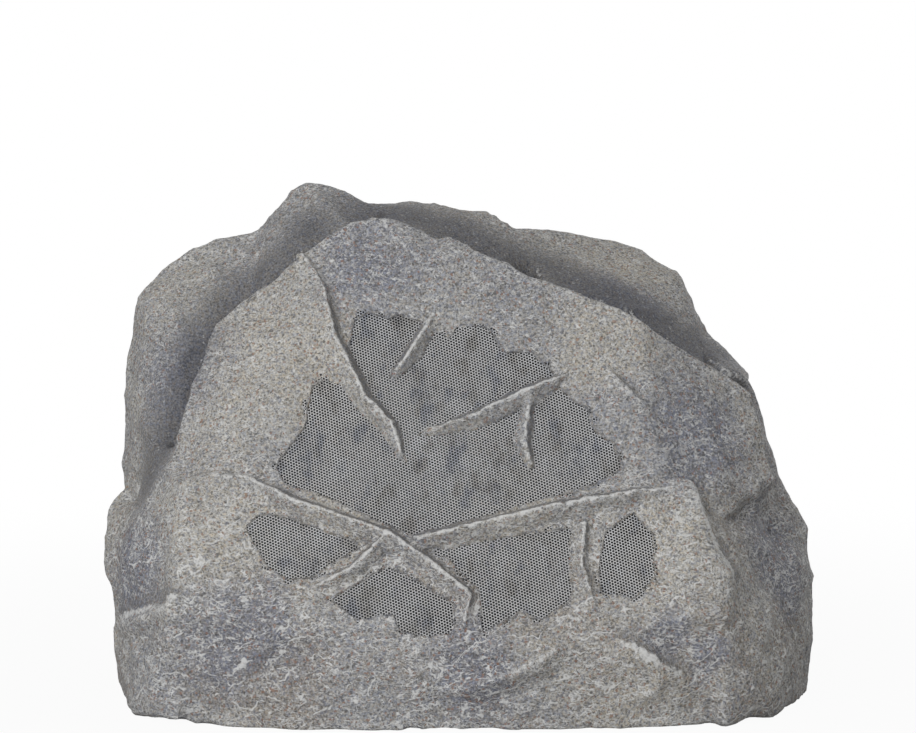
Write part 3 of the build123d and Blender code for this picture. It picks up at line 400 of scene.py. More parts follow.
# Stones that the solids leave plain, each through points on its facets in millimetres, and two
# fillings between the stones at the back
right_foot = [(178, -167, 90), (197, -147, 77), (215, -117, 58), (168, -181, 0), (199, -159, 0),
              (222, -118, 0), (172, -179, 45), (203, -154, 40), (224, -114, 28), (168, -120, 0),
              (168, -120, 86), (210, -90, 0), (210, -90, 50)]
right_block = [(160, -132, 133), (168, -142, 121), (174, -152, 107), (179, -160, 91),
               (186, -122, 114), (191, -128, 98), (197, -132, 82), (205, -101, 98), (213, -104, 72),
               (207, -66, 117), (160, -100, 120), (165, -110, 60), (180, -163, 70), (198, -143, 62),
               (216, -112, 52), (200, -60, 60)]
left_foot = [(-182, -169, 60), (-204, -136, 60), (-214, -122, 57), (-178, -181, 0), (-203, -162, 0),
             (-213, -146, 0), (-199, -160, 30), (-180, -120, 0), (-180, -120, 60), (-212, -110, 0),
             (-212, -110, 56)]
left_shoulder = [(-219, 6, 267), (-206, 15, 280), (-186, 19, 292), (-165, 22, 297), (-141, 25, 303),
                 (-132, 24, 309), (-200, 60, 262), (-140, 70, 290), (-215, 25, 255), (-150, 0, 280),
                 (-190, -5, 265), (-215, 0, 255)]
right_flank = [(211, -12, 150), (222, -17, 135), (232, -24, 119), (239, -28, 107), (240, -32, 92),
               (205, 0, 140), (220, 20, 110), (212, -60, 112), (215, -30, 80), (238, 10, 80)]
left_block = [(-184, -146, 130), (-186, -158, 102), (-186, -160, 68), (-203, -112, 133),
              (-211, -126, 100), (-213, -128, 68), (-227, -60, 128), (-234, -70, 102),
              (-232, -80, 66), (-186, -158, 45), (-212, -127, 45), (-231, -82, 45),
              (-188, -60, 122), (-188, -60, 45)]
left_brow = [(-187, -106, 166), (-189, -112, 152), (-182, -140, 150), (-203, -108, 134),
             (-205, -78, 152), (-215, -62, 138), (-197, -64, 174), (-180, -70, 150),
             (-180, -100, 110), (-185, -146, 126), (-204, -114, 126), (-214, -62, 120),
             (-190, -60, 110)]
right_shoulder = [(168, 36, 240), (183, 20, 229), (199, 8, 211), (200, -25, 206), (182, -32, 214),
                  (163, 0, 228), (190, 32, 205), (168, 50, 215), (165, -10, 195), (190, -10, 185)]
back_trench = [(-142, 90, 281), (-62, 90, 297), (-142, 120, 262), (-62, 122, 269), (-135, 124, 250),
               (-66, 126, 256), (-138, 92, 235), (-64, 92, 240), (-138, 118, 235), (-64, 118, 240)]
back_slit = [(40, 96, 287), (62, 96, 279), (40, 126, 268), (62, 126, 266), (40, 136, 238),
             (62, 136, 236), (40, 100, 235), (62, 100, 235)]
for stone in (right_foot, right_block, left_foot, left_shoulder, right_flank, left_block, left_brow,
              right_shoulder, back_trench, back_slit):
    lump(stone)
skin = BVHTree.FromBMesh(rough)

# Ledges: their line and rises, the steep side, and how far both sides reach for each rise
top_notch = [(-50, -53.5, 317.6), (-44, -57, 307), (-35, -61, 299), (-28, -65, 292), (-22, -67, 288)]
top_step = [(-22, -67, 288), (-12, -67, 292), (-2, -67.3, 294.6), (8, -67, 297)]
brow_ledge = [(98, -101.5, 226), (102.6, -105, 218), (109.6, -110, 210), (120, -113, 203),
              (128, -112, 199)]
right_ledge = [(104, -186.6, 60), (117, -184, 56), (127, -182.5, 50), (137, -179.4, 40.5),
               (150, -175, 30), (163, -172, 27), (176, -170, 24)]
middle_ledge = [(-11, -188, 27), (8, -189, 30), (34, -189, 38.5), (53, -190, 50), (66, -190, 56)]
left_ledge = [(-226, -86, 50), (-218, -108, 56), (-207, -131, 63), (-195, -149, 70), (-186, -162, 77)]
ledge(top_notch, (3, 6, 7, 6, 4), -1, 0.6, 3.0)
ledge(top_step, (4, 6, 6, 2), -1, 0.6, 3.0)
ledge(brow_ledge, (2, 6, 7, 6, 2), 1, 0.6, 3.5)
ledge(right_ledge, (2, 7, 10, 10, 8, 5, 2), 1, 0.5, 3.5)
ledge(middle_ledge, (2, 5, 6, 6, 2), 1, 0.6, 3.0)
ledge(left_ledge, (2, 4, 7, 7, 4), 1, 0.5, 3.5)

# The stepped upper end of the left ridge, and the thin tips of four ridges
ridge_out = sheet_place.to_3x3() @ Vector((0, 0, 1))
stepped = [(-105, 158, 2), (-97, 146, 6), (-90, 134, 9), (-86, 116, 11), (-82, 98, 11),
           (-72, 76, 9), (-64, 59, 6)]
wedges(on_sheet(stepped), [ridge_out] * len(stepped), 1, 0.5, 2.6)
for tip, steep_side in (([(-44, 35, 9), (-36, 13, 4), (-34, 5, 1)], 1),
                        ([(-30, 88, 9), (-43, 70, 4), (-47, 64, 1)], -1),
                        ([(12, 41, 9), (-20, 30, 4), (-31, 27, 1)], -1),
                        ([(44, 23, 8), (48, 7, 4), (50, 0, 1)], 1)):
    wedges(on_sheet(tip), [ridge_out] * len(tip), steep_side, 0.55, 1.0)
rough.to_mesh(blank.data)
rough.free()

rock_voxel = 0.0016
remesh = blank.modifiers.new("voxels", "REMESH")
remesh.mode = "VOXEL"
remesh.voxel_size = rock_voxel
settled(blank)

# What wear has to leave alone: the sheet, the grommet and the windows in the skin over the sheet
kept = solid_of("grille_panel")
kept.from_mesh(nodes["cable_grommet"].data)
kept = standing("kept_faces", kept)
openings = standing("openings", sheet_slab(0.995, 0.0004, 0.0024))
carved(openings, standing("rock_copy", solid_of("rock_shell")))


def near_to(piece, group, target, close, far, at_hand, on={"FACE"}):
    """Vertex group of a piece that fades with the distance to a target."""
    marked = piece.vertex_groups.new(name=group)
    marked.add(range(len(piece.data.vertices)), 1.0, "REPLACE")
    reach = piece.modifiers.new(group, "VERTEX_WEIGHT_PROXIMITY")
    reach.vertex_group = group
    reach.target = target
    reach.proximity_mode = "GEOMETRY"
    reach.proximity_geometry = on
    reach.min_dist = close
    reach.max_dist = far
    reach.falloff_type = "SMOOTH"
    reach.invert_falloff = at_hand


def worn_down(piece, rounds, group=""):
    """Points of a piece, the same points once it is worn smooth, and the way out from there."""
    copy = bpy.data.objects.new("worn_copy", piece.data.copy())
    bpy.context.scene.collection.objects.link(copy)
    for marked in piece.vertex_groups:
        copy.vertex_groups.new(name=marked.name)
    smooth = copy.modifiers.new("smooth", "SMOOTH")
    smooth.factor = 0.5
    smooth.iterations = rounds
    smooth.vertex_group = group
    settled(copy)
    here, there, outward = (np.zeros(3 * len(piece.data.vertices), np.float32) for _ in range(3))
    piece.data.vertices.foreach_get("co", here)
    copy.data.vertices.foreach_get("co", there)
    copy.data.vertices.foreach_get("normal", outward)
    bpy.data.objects.remove(copy)
    return here.reshape(-1, 3), there.reshape(-1, 3), outward.reshape(-1, 3)


def standing_proud(piece, rounds, full):
    """How far each point of a piece stands out from the piece worn smooth, as a share of full."""
    here, there, outward = worn_down(piece, rounds)
    return np.sum((here - there) * outward, axis=1) / full


def painted_on(piece, name, values):
    """Store a value at each point of a piece for its material."""
    layer = piece.data.attributes.new(name, "FLOAT", "POINT")
    layer.data.foreach_set("value", np.clip(values, 0, 1).astype(np.float32))


# Edges are worn all over, and rubbed round along these lines between stones
near_to(blank, "free_rock", kept, 0.009, 0.022, False)
near_to(blank, "by_sheet", kept, 0.012, 0.030, True)
rubs = bmesh.new()
for line in ([(-198, -33, 255), (-201, -48, 217), (-203, -66, 178), (-204, -72, 152)],
             [(-127, -18, 296), (-130, -29, 288), (-133, -30, 280)],
             [(196, -89, 126), (198, -91, 108), (204, -107, 94)],
             [(170, -150, 118), (180, -163, 88), (198, -143, 66), (216, -112, 54)],
             [(-178, -138, 158), (-183, -148, 135), (-186, -159, 112)],
             [(-226, -62, 130), (-203, -112, 134), (-209, -122, 110)],
             [(-189, -112, 152), (-205, -78, 152), (-213, -62, 140)],
             [(-182, -174, 24), (-178, -181, 0)], [(-200, -161, 20), (-203, -162, 0)],
             [(-212, -143, 16), (-213, -146, 0)],
             [(-138, 89, 285), (-100, 89, 295), (-64, 89, 302)],
             [(172, -179, 28), (168, -181, 0)], [(203, -154, 40), (199, -159, 0)],
             [(224, -114, 28), (222, -118, 0)]):
    corners = [rubs.verts.new(Vector(point) / 1000) for point in line]
    for first, second in zip(corners, corners[1:]):
        rubs.edges.new((first, second))
rubs = standing("rubs", rubs)
near_to(blank, "rubbed", rubs, 0.004, 0.030, True, {"EDGE"})
for name, rounds, group in (("rub", 220, "rubbed"), ("worn_edges", 4, "free_rock"),
                            ("soft_edges", 2, "")):
    smooth = blank.modifiers.new(name, "SMOOTH")
    smooth.factor = 0.5
    smooth.iterations = rounds
    smooth.vertex_group = group
settled(blank)
near = standing_proud(blank, 16, 0.0010)
wide = standing_proud(blank, 200, 0.0020)

# How much rock stands over each point, from rays on a coarse copy, for the painted shade
ray_count = 32
ray_turn = 2.4
ray_start = 0.003
ray_reach = 0.09
coarse_voxel = 0.0055
coarse_rock = bpy.data.objects.new("coarse_rock", blank.data.copy())
bpy.context.scene.collection.objects.link(coarse_rock)
coarse = coarse_rock.modifiers.new("coarse", "REMESH")
coarse.mode = "VOXEL"
coarse.voxel_size = coarse_voxel
settled(coarse_rock)
coarse_skin = BVHTree.FromObject(coarse_rock, bpy.context.evaluated_depsgraph_get())
ways = []
for at in range(ray_count):
    lean = math.sqrt((at + 0.5) / ray_count)
    ways.append(Vector((lean * math.cos(ray_turn * at), lean * math.sin(ray_turn * at),
                        math.sqrt(1 - lean * lean))))
walled_in = []
finder = KDTree(len(coarse_rock.data.vertices))
for corner in coarse_rock.data.vertices:
    outwards = corner.normal.to_track_quat("Z", "Y").to_matrix()
    start = corner.co + corner.normal * ray_start
    hits = [coarse_skin.ray_cast(start, outwards @ way, ray_reach)[0] for way in ways]
    walled_in.append(sum(hit is not None for hit in hits) / ray_count)
    finder.insert(corner.co, corner.index)
finder.balance()
walled_in = np.array(walled_in)
ends = np.array([edge.vertices[:] for edge in coarse_rock.data.edges])
for _ in range(3):
    total = walled_in.copy()
    count = np.ones(len(walled_in))
    for first, second in ((0, 1), (1, 0)):
        np.add.at(total, ends[:, first], walled_in[ends[:, second]])
        np.add.at(count, ends[:, first], 1)
    walled_in = total / count
shut_in = np.array([np.mean([walled_in[hit[1]] for hit in finder.find_n(corner.co, 3)])
                    for corner in blank.data.vertices])
bpy.data.objects.remove(coarse_rock)

# Creases are filled a little, and the skin sinks to the sheet around each window
window_reach = 0.013
skin_sink = 0.0021
crest = near * 1.7 - 0.4
here, there, outward = worn_down(blank, 24, "free_rock")
filled = here + outward * np.maximum(0, np.sum((there - here) * outward, axis=1))[:, None]
from_sheet = np.array(sheet_place.inverted())
over_sheet = filled @ from_sheet[:3, :3].T + from_sheet[:3, 3]
sheet_out = np.array(sheet_place)[:3, 2]
window_edges = BVHTree.FromObject(openings, bpy.context.evaluated_depsgraph_get())
flat_skin = outward @ sheet_out > 0.8
for point in np.flatnonzero((over_sheet[:, 2] > -0.002) & (over_sheet[:, 2] < 0.0036)):
    nearest = window_edges.find_nearest(filled[point], window_reach)
    if nearest[3] is not None:
        crest[point] = 0
        share = 1 - nearest[3] / window_reach
        if flat_skin[point]:
            filled[point] -= sheet_out * skin_sink * share * share * (3 - 2 * share)


def steps_along(line, steps):
    """Even steps along a line of points in millimetres, in metres."""
    return [Vector(first).lerp(Vector(second), step / steps) / 1000
            for first, second in zip(line, line[1:]) for step in range(steps)]


# Painted shade, dark in creases, under overhangs and in the two valleys behind the brow
valley_reach = 0.038
valley_fade = 0.030
painted_shade = np.maximum(np.maximum(-near * 0.9 - 0.25, -wide * 0.7 - 0.3), (shut_in - 0.05) / 0.30)
top_valley = [(-62, -4, 322), (-40, 18, 319), (-19, 9, 313), (2, 0, 305), (26, -7, 294), (50, 0, 283),
              (74, -5, 277), (97, -19, 265), (125, -21, 254), (152, -21, 233), (170, -5, 222)]
left_valley = [(-100, -14, 310), (-110, -24, 296), (-122, -29, 284), (-140, -27, 268),
               (-155, -34, 254), (-166, -44, 238), (-174, -54, 215), (-183, -62, 190),
               (-192, -70, 165), (-197, -76, 145)]
valley_spots = steps_along(top_valley, 10) + steps_along(left_valley, 10)
valleys = KDTree(len(valley_spots))
for at, spot in enumerate(valley_spots):
    valleys.insert(spot, at)
valleys.balance()
behind = np.clip((-over_sheet[:, 2] - 0.006) / 0.010, 0, 1)
# Painted shade of the two valleys, on points behind the plane of the sheet
for point in np.flatnonzero(behind > 0):
    away = valleys.find(filled[point])[2]
    painted_valley_shade = behind[point] * 0.95 * np.clip((valley_reach - away) / valley_fade, 0, 1)
    painted_shade[point] = max(painted_shade[point], painted_valley_shade)

# White on the crests fades away from the windows, and the steep sides of the ridges get painted shade
crest_reach = 0.060
far_crest = 0.62
foot_height = 0.012
ridge_reach = 0.026
ridge_fade = 0.008
for point in np.flatnonzero(crest > 0):
    nearest = window_edges.find_nearest(filled[point], crest_reach)[3]
    crest[point] *= far_crest if nearest is None else 1 - (1 - far_crest) * nearest / crest_reach
crest[filled[:, 2] < foot_height] = 0
steepness = np.clip((0.82 - outward @ sheet_out) / 0.30, 0, 1)
on_ridges = (over_sheet[:, 2] > 0.0005) & (over_sheet[:, 2] < 0.013)
# Painted shade on the steep sides of the ridges near the windows
for point in np.flatnonzero(on_ridges & (steepness > 0)):
    nearest = window_edges.find_nearest(filled[point], ridge_reach)[3]
    if nearest is not None:
        steep = 0.75 * steepness[point] * min(1, (ridge_reach - nearest) / ridge_fade)
        painted_shade[point] = max(painted_shade[point], steep)

# Seams of the left foot, the right foot and the apron: a white edge, and painted shadow on one side of
# it
seam_reach = 0.018
seam_width = 0.0040
seam_height = 0.170
left_seam = [(-225, -97, 56), (-212, -132, 67), (-201, -145, 73), (-189, -165, 80), (-183, -171, 85)]
right_seam = [(107, -188, 57), (117, -190, 53), (126, -190, 47), (135, -187, 41), (143, -182, 37)]
apron_seam = [(153, -139, 154), (161, -147, 134), (169, -153, 113), (178, -162, 94)]
seam_spots = []
for line, shadow_side in ((left_seam, (0, 0, 1)), (right_seam, (0.4, 0, 1)), (apron_seam, (1, 0, 0.3))):
    seam_spots += [(spot, Vector(shadow_side).normalized()) for spot in steps_along(line, 15)]
seams = KDTree(len(seam_spots))
for at, (spot, _) in enumerate(seam_spots):
    seams.insert(spot, at)
seams.balance()
for point in np.flatnonzero(filled[:, 2] < seam_height):
    place = Vector(filled[point])
    seam, at, away = seams.find(place)
    if away < seam_reach:
        crest[point] = max(crest[point], 1.0 - away / seam_width)
        # Painted shadow on one side of the seam
        if (place - seam) @ seam_spots[at][1] > 0.0015:
            painted_shade[point] = max(painted_shade[point], 0.80 * (1 - away / seam_reach))
painted_on(blank, "crest", crest)
# The hollow layer holds the painted shade
painted_on(blank, "hollow", painted_shade)
painted_on(blank, "proud", wide * 0.9 - 0.15)
blank.data.vertices.foreach_set("co", filled.astype(np.float32).ravel())
blank.data.update()

# Relief of the cast: lumps, creases and chips on the free rock, ragged edges by the sheet, and grit
for name, kind, size, depth, strength, group in (("lumps", "CLOUDS", 0.050, 1, 0.007, "free_rock"),
                                                 ("creases", "MUSGRAVE", 0.034, 2, 0.0022, "free_rock"),
                                                 ("chips", "CLOUDS", 0.014, 3, 0.0015, "free_rock"),
                                                 ("wander", "CLOUDS", 0.008, 2, 0.0026, "by_sheet"),
                                                 ("grit", "CLOUDS", 0.0045, 3, 0.0008, "")):
    relief = bpy.data.textures.new(name, kind)
    relief.noise_scale = size
    if kind == "CLOUDS":
        relief.noise_depth = depth
    else:
        relief.musgrave_type = "RIDGED_MULTIFRACTAL"
        relief.octaves = depth
    push = blank.modifiers.new(name, "DISPLACE")
    if name == "wander":
        relief.cloud_type = "COLOR"
        push.direction = "RGB_TO_XYZ"
    push.texture = relief
    push.texture_coords = "LOCAL"
    push.strength = strength
    push.mid_level = 0.5 if name == "wander" else 0.45
    push.vertex_group = group
settled(blank)
bpy.data.objects.remove(kept)
bpy.data.objects.remove(rubs)
bpy.data.objects.remove(openings)
kept_share = 0.32
thin = blank.modifiers.new("thin", "DECIMATE")
thin.ratio = kept_share
settled(blank)

# The hollow and the seats of the sheet, the base plate and the grommet are cut from the finished rock
ground = bmesh.new()
bmesh.ops.create_cube(ground, size=1.0, matrix=Matrix.Translation((0, 0, -0.5)))
boulder = carved(blank, hollow)
carved(boulder, standing("sheet_room", sheet_slab(1.004, -0.0024, 0.00012)))
carved(boulder, standing("foot_room", foot_slab(1.006, -0.010, 0.0131)))
carved(boulder, standing("cable_neck", cable_rod(0.0070, -0.004, 0.010)))
carved(boulder, standing("cable_recess", cable_rod(0.0118, 0.0, 0.020)))
carved(boulder, standing("ground", ground))
boulder.name = "boulder"
boulder.data.polygons.foreach_set("use_smooth", [True] * len(boulder.data.polygons))
boulder.data.set_sharp_from_angle(angle=math.radians(55))


def granite_finish(name, streaks, roughness, depth):
    """Material of the granite paint, on a piece with or without its crests marked."""
    material = bpy.data.materials.new(name)
    material.use_nodes = True
    tree = material.node_tree
    shader = tree.nodes["Principled BSDF"]
    shader.inputs["Roughness"].default_value = roughness
    shader.inputs["Specular IOR Level"].default_value = 0.25
    coords = tree.nodes.new("ShaderNodeTexCoord").outputs["Object"]
    paint = wired(tree, "ShaderNodeGroup", node_tree=granite)
    tree.links.new(coords, paint.inputs["Place"])
    # The hollow layer goes into the paint as painted shade
    for socket, layer in (("Crest", "crest"), ("Hollow", "hollow"), ("Proud", "proud")):
        marked = wired(tree, "ShaderNodeAttribute", attribute_name=layer)
        tree.links.new(marked.outputs["Fac"], paint.inputs[socket])
    paint.inputs["Streaks"].default_value = streaks
    bump = wired(tree, "ShaderNodeBump", {"Height": paint.outputs["Height"], "Strength": 0.6,
                                          "Distance": depth})
    tree.links.new(paint.outputs["Color"], shader.inputs["Base Color"])
    tree.links.new(bump.outputs["Normal"], shader.inputs["Normal"])
    return material


boulder.data.materials.clear()
boulder.data.materials.append(granite_finish("painted_rock", 1.0, 0.85, 0.0012))
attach(boulder, "boulder")
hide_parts("rock_shell")


# The grille is one flat sheet of perforated steel behind the windows, painted with the rock. It
# lies against the back of the moulded skin. It is made in four bands that meet edge to edge.
hole_pitch = 0.0020
hole_width = 0.00150
hole_row_turn = math.radians(7)
rows = 140
columns = 92
cells = bmesh.new()
for across, up in ((0, 0), (hole_pitch * math.sqrt(3) / 2, hole_pitch / 2)):
    cell_place = Matrix.Translation((across, up, 0)) @ Matrix.Rotation(math.pi / 6, 4, "Z")
    bmesh.ops.create_circle(cells, cap_ends=True, segments=6, radius=hole_pitch / math.sqrt(3),
                            matrix=cell_place)
holes = cells.faces[:]
bmesh.ops.recalc_face_normals(cells, faces=holes)
bmesh.ops.inset_individual(cells, faces=holes, thickness=(hole_pitch - hole_width) / 2)
bmesh.ops.delete(cells, geom=holes, context="FACES_ONLY")
corner = (-columns * hole_pitch * math.sqrt(3) / 2, -rows * hole_pitch / 2, 0)
bmesh.ops.translate(cells, vec=corner, verts=cells.verts)
perforated = standing("perforated", cells)
for count, step in ((rows, (0, hole_pitch, 0)), (columns, (hole_pitch * math.sqrt(3), 0, 0))):
    repeat = perforated.modifiers.new("repeat", "ARRAY")
    repeat.count = count
    repeat.use_relative_offset = False
    repeat.use_constant_offset = True
    repeat.constant_offset_displace = step
    repeat.use_merge_vertices = True
    repeat.merge_threshold = 0.00001
gauge = perforated.modifiers.new("gauge", "SOLIDIFY")
gauge.thickness = sheet_thickness
gauge.offset = -1.0
settled(perforated)
perforated.data.transform(sheet_place @ Matrix.Rotation(hole_row_turn, 4, "Z"))
sheet_paint = granite_finish("painted_sheet", 0.5, 0.7, 0.0003)
tree = sheet_paint.node_tree
place = tree.nodes["Texture Coordinate"].outputs["Object"]
coat = mixed(tree, 0.65, tree.nodes["Group"].outputs["Color"], (0.730, 0.735, 0.745, 1))
for colour, offset, strength in (((0.720, 0.730, 0.750, 1), (2.2, 4.1, 0.4), 0.60),
                                 ((0.235, 0.262, 0.330, 1), (8.4, 1.9, 3.3), 0.55),
                                 ((0.250, 0.225, 0.190, 1), (5.1, 7.7, 6.3), 0.45)):
    dabs = noisy(tree, moved(tree, place, offset, scale=(1, 0.6, 0.6)), 70.0, 4.0, 0.65)
    coat = mixed(tree, spread(tree, dabs, 0.52, 0.68, 0.0, strength), coat, colour)
tree.links.new(coat, tree.nodes["Principled BSDF"].inputs["Base Color"])
sheet_up = sheet_place.to_3x3() @ Vector((0, 1, 0))
for name, low, high in (("sheet_foot", -0.200, -0.062), ("sheet_low", -0.062, -0.015),
                        ("sheet_high", -0.015, 0.036), ("sheet_top", 0.036, 0.200)):
    band = sheet_slab(1.0, -0.0013, 0.0001)
    for edge, side in ((low, -1), (high, 1)):
        whole = band.verts[:] + band.edges[:] + band.faces[:]
        bmesh.ops.bisect_plane(band, geom=whole, plane_co=sheet_place @ Vector((0, edge, 0)),
                               plane_no=sheet_up * side, clear_outer=True)
        bmesh.ops.holes_fill(band, edges=[rim for rim in band.edges if rim.is_boundary])
    sheet = bpy.data.objects.new(name, perforated.data.copy())
    bpy.context.scene.collection.objects.link(sheet)
    carved(sheet, standing("band", band), "INTERSECT")
    sheet.data.materials.clear()
    sheet.data.materials.append(sheet_paint)
    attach(sheet, "boulder")
    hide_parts("grille_panel")
bpy.data.objects.remove(perforated)


# The grommet is a pushed-in ring of moulded black rubber that seals the cable hole at the back.
# It keeps the shape of its solid, with the dull, slightly chalky skin that rubber gets outdoors.
def coated(finish, *names):
    """Give a finish to pieces that keep the shape of their solids."""
    for name in names:
        for held in nodes[name].material_slots:
            held.material = finish


def plain_finish(name, first, second, scale, roughness, metallic=0.0, depth=0.0, stretch=(1, 1, 1)):
    """Material that wanders between two colours, with a fine relief of the same grain."""
    material = bpy.data.materials.new(name)
    material.use_nodes = True
    tree = material.node_tree
    shader = tree.nodes["Principled BSDF"]
    shader.inputs["Metallic"].default_value = metallic
    place = moved(tree, tree.nodes.new("ShaderNodeTexCoord").outputs["Object"], scale=stretch)
    grain = noisy(tree, place, scale, 3.0, 0.6)
    coat = mixed(tree, spread(tree, grain, 0.35, 0.65), (*first, 1), (*second, 1))
    tree.links.new(coat, shader.inputs["Base Color"])
    dull = spread(tree, noisy(tree, place, scale * 0.15, 2.0), 0.3, 0.7, roughness - 0.07,
                  roughness + 0.07)
    tree.links.new(dull, shader.inputs["Roughness"])
    if depth:
        bump = wired(tree, "ShaderNodeBump", {"Height": grain, "Strength": 0.5, "Distance": depth})
        tree.links.new(bump.outputs["Normal"], shader.inputs["Normal"])
    return material


coated(plain_finish("black_rubber", (0.022, 0.022, 0.022), (0.038, 0.037, 0.036),
                    350.0, 0.75, depth=0.00015), "cable_grommet")


# The baffle is a black moulded board behind the sheet, screwed to the collar over a foam seal.
# It keeps a fine moulded grain. The seals are closed-cell foam and the screws stainless steel.
def foam_finish(name):
    """Material of closed-cell foam, with its cut cells as small pits."""
    material = plain_finish(name, (0.030, 0.030, 0.031), (0.046, 0.046, 0.048), 500.0, 0.88)
    tree = material.node_tree
    place = tree.nodes["Texture Coordinate"].outputs["Object"]
    cells = wired(tree, "ShaderNodeTexVoronoi", {"Vector": place, "Scale": 1100.0}).outputs["Distance"]
    bump = wired(tree, "ShaderNodeBump", {"Height": cells, "Strength": 0.7, "Distance": 0.0004})
    tree.links.new(bump.outputs["Normal"], tree.nodes["Principled BSDF"].inputs["Normal"])
    return material


foam = foam_finish("cell_foam")
steel = plain_finish("stainless_steel", (0.50, 0.50, 0.51), (0.62, 0.62, 0.62), 900.0, 0.34, 1.0,
                     0.00003, (1, 1, 0.15))
coated(plain_finish("black_board", (0.026, 0.026, 0.028), (0.040, 0.040, 0.042),
                    800.0, 0.65, depth=0.0001), "baffle")
coated(foam, "baffle_gasket", "woofer_gasket", "base_gasket")
coated(steel, "baffle_screws", "base_screws", "crossover_screws")


# The woofer has a pressed steel basket in black powder coat, a rubber surround and a moulded
# plastic cone with faint turning rings, on a copper voice coil, a cloth spider and a ferrite magnet.
woofer_axis = (sheet_place @ Matrix.Translation((0, -0.031, -0.0285))).inverted()
tweeter_axis = (sheet_place @ Matrix.Translation((0, 0.079, -0.030))).inverted()


def waved(tree, axis, kind, direction, pitch):
    """Even waves between 0 and 1 about or along an axis, with a pitch in metres."""
    coords = tree.nodes["Texture Coordinate"].outputs["Object"]
    place = moved(tree, coords, axis.translation, axis.to_euler())
    wave = wired(tree, "ShaderNodeTexWave", {"Vector": place, "Scale": 0.314 / pitch}, wave_type=kind)
    setattr(wave, "bands_direction" if kind == "BANDS" else "rings_direction", direction)
    return wave.outputs["Fac"]


def ridged(material, height, depth, painted_groove_shade=0.0):
    """Add a relief to a material, with painted shade in its grooves."""
    tree = material.node_tree
    shader = tree.nodes["Principled BSDF"]
    bump = wired(tree, "ShaderNodeBump", {"Height": height, "Strength": 0.8, "Distance": depth})
    tree.links.new(bump.outputs["Normal"], shader.inputs["Normal"])
    if painted_groove_shade:
        coat = shader.inputs["Base Color"].links[0].from_socket
        # Painted shade in the grooves, towards near black
        groove_shadow_mask = spread(tree, height, 0.1, 0.6, painted_groove_shade, 0.0)
        coat = mixed(tree, groove_shadow_mask, coat, (0.01, 0.008, 0.006, 1))
        tree.links.new(coat, shader.inputs["Base Color"])
    return material


def woven(material, axis, pitch, depth):
    """Add the weave of a cloth to a material."""
    tree = material.node_tree
    across = waved(tree, axis, "BANDS", "X", pitch)
    along = waved(tree, axis, "BANDS", "Y", pitch)
    return ridged(material, times(tree, across, along), depth, 0.5)


cone = plain_finish("moulded_cone", (0.040, 0.040, 0.043), (0.058, 0.058, 0.062), 260.0, 0.48)
coated(ridged(cone, waved(cone.node_tree, woofer_axis, "RINGS", "Z", 0.006), 0.0003), "woofer_cone")
coated(plain_finish("moulded_cap", (0.036, 0.036, 0.039), (0.050, 0.050, 0.054),
                    420.0, 0.42, depth=0.00008), "woofer_dust_cap")
coated(plain_finish("powder_coat", (0.032, 0.032, 0.034), (0.046, 0.046, 0.049),
                    700.0, 0.5, depth=0.00012), "woofer_basket")
coated(plain_finish("matt_rubber", (0.020, 0.020, 0.020), (0.032, 0.032, 0.032),
                    300.0, 0.78, depth=0.0001), "woofer_surround")
wire = plain_finish("copper_wire", (0.46, 0.20, 0.09), (0.58, 0.28, 0.13), 120.0, 0.3, 0.9)
coated(ridged(wire, waved(wire.node_tree, woofer_axis, "BANDS", "Z", 0.0007), 0.0002, 0.7),
       "voice_coil")
cloth = plain_finish("spider_cloth", (0.34, 0.24, 0.10), (0.46, 0.34, 0.16), 160.0, 0.85)
coated(woven(cloth, woofer_axis, 0.0012, 0.0003), "woofer_spider")
coated(plain_finish("ferrite", (0.060, 0.060, 0.064), (0.100, 0.100, 0.106),
                    650.0, 0.62, depth=0.0002), "woofer_magnet")
zinc = plain_finish("zinc_plate", (0.46, 0.47, 0.46), (0.60, 0.60, 0.57), 240.0, 0.38, 1.0,
                    0.00004, (1, 1, 0.3))
coated(zinc, "woofer_top_plate", "woofer_yoke", "tweeter_motor")
moulding = plain_finish("black_moulding", (0.028, 0.028, 0.029), (0.042, 0.042, 0.043), 600.0,
                        0.58, depth=0.00012)
coated(moulding, "woofer_terminal")
dark_steel = plain_finish("blackened_steel", (0.030, 0.030, 0.032), (0.055, 0.054, 0.054), 700.0,
                          0.45, 0.6, 0.00003)
coated(dark_steel, "woofer_screws", "tweeter_screws")


# The tweeter has a moulded black faceplate and a small dome of dark coated silk, over a
# zinc-plated motor. The weave of the silk just shows through its coat.
silk = plain_finish("coated_silk", (0.028, 0.024, 0.020), (0.046, 0.040, 0.032), 220.0, 0.6)
coated(woven(silk, tweeter_axis, 0.0008, 0.0001), "tweeter_dome")
coated(moulding, "tweeter_faceplate")


# The base plate is a flat black moulding with a pebbled face, screwed up under the rock's inner
# ledge over a foam seal. It closes the boulder and carries the crossover.
pebbled = plain_finish("pebbled_plate", (0.030, 0.030, 0.031), (0.044, 0.044, 0.045), 420.0, 0.68,
                       depth=0.0004)
coated(pebbled, "base_plate")


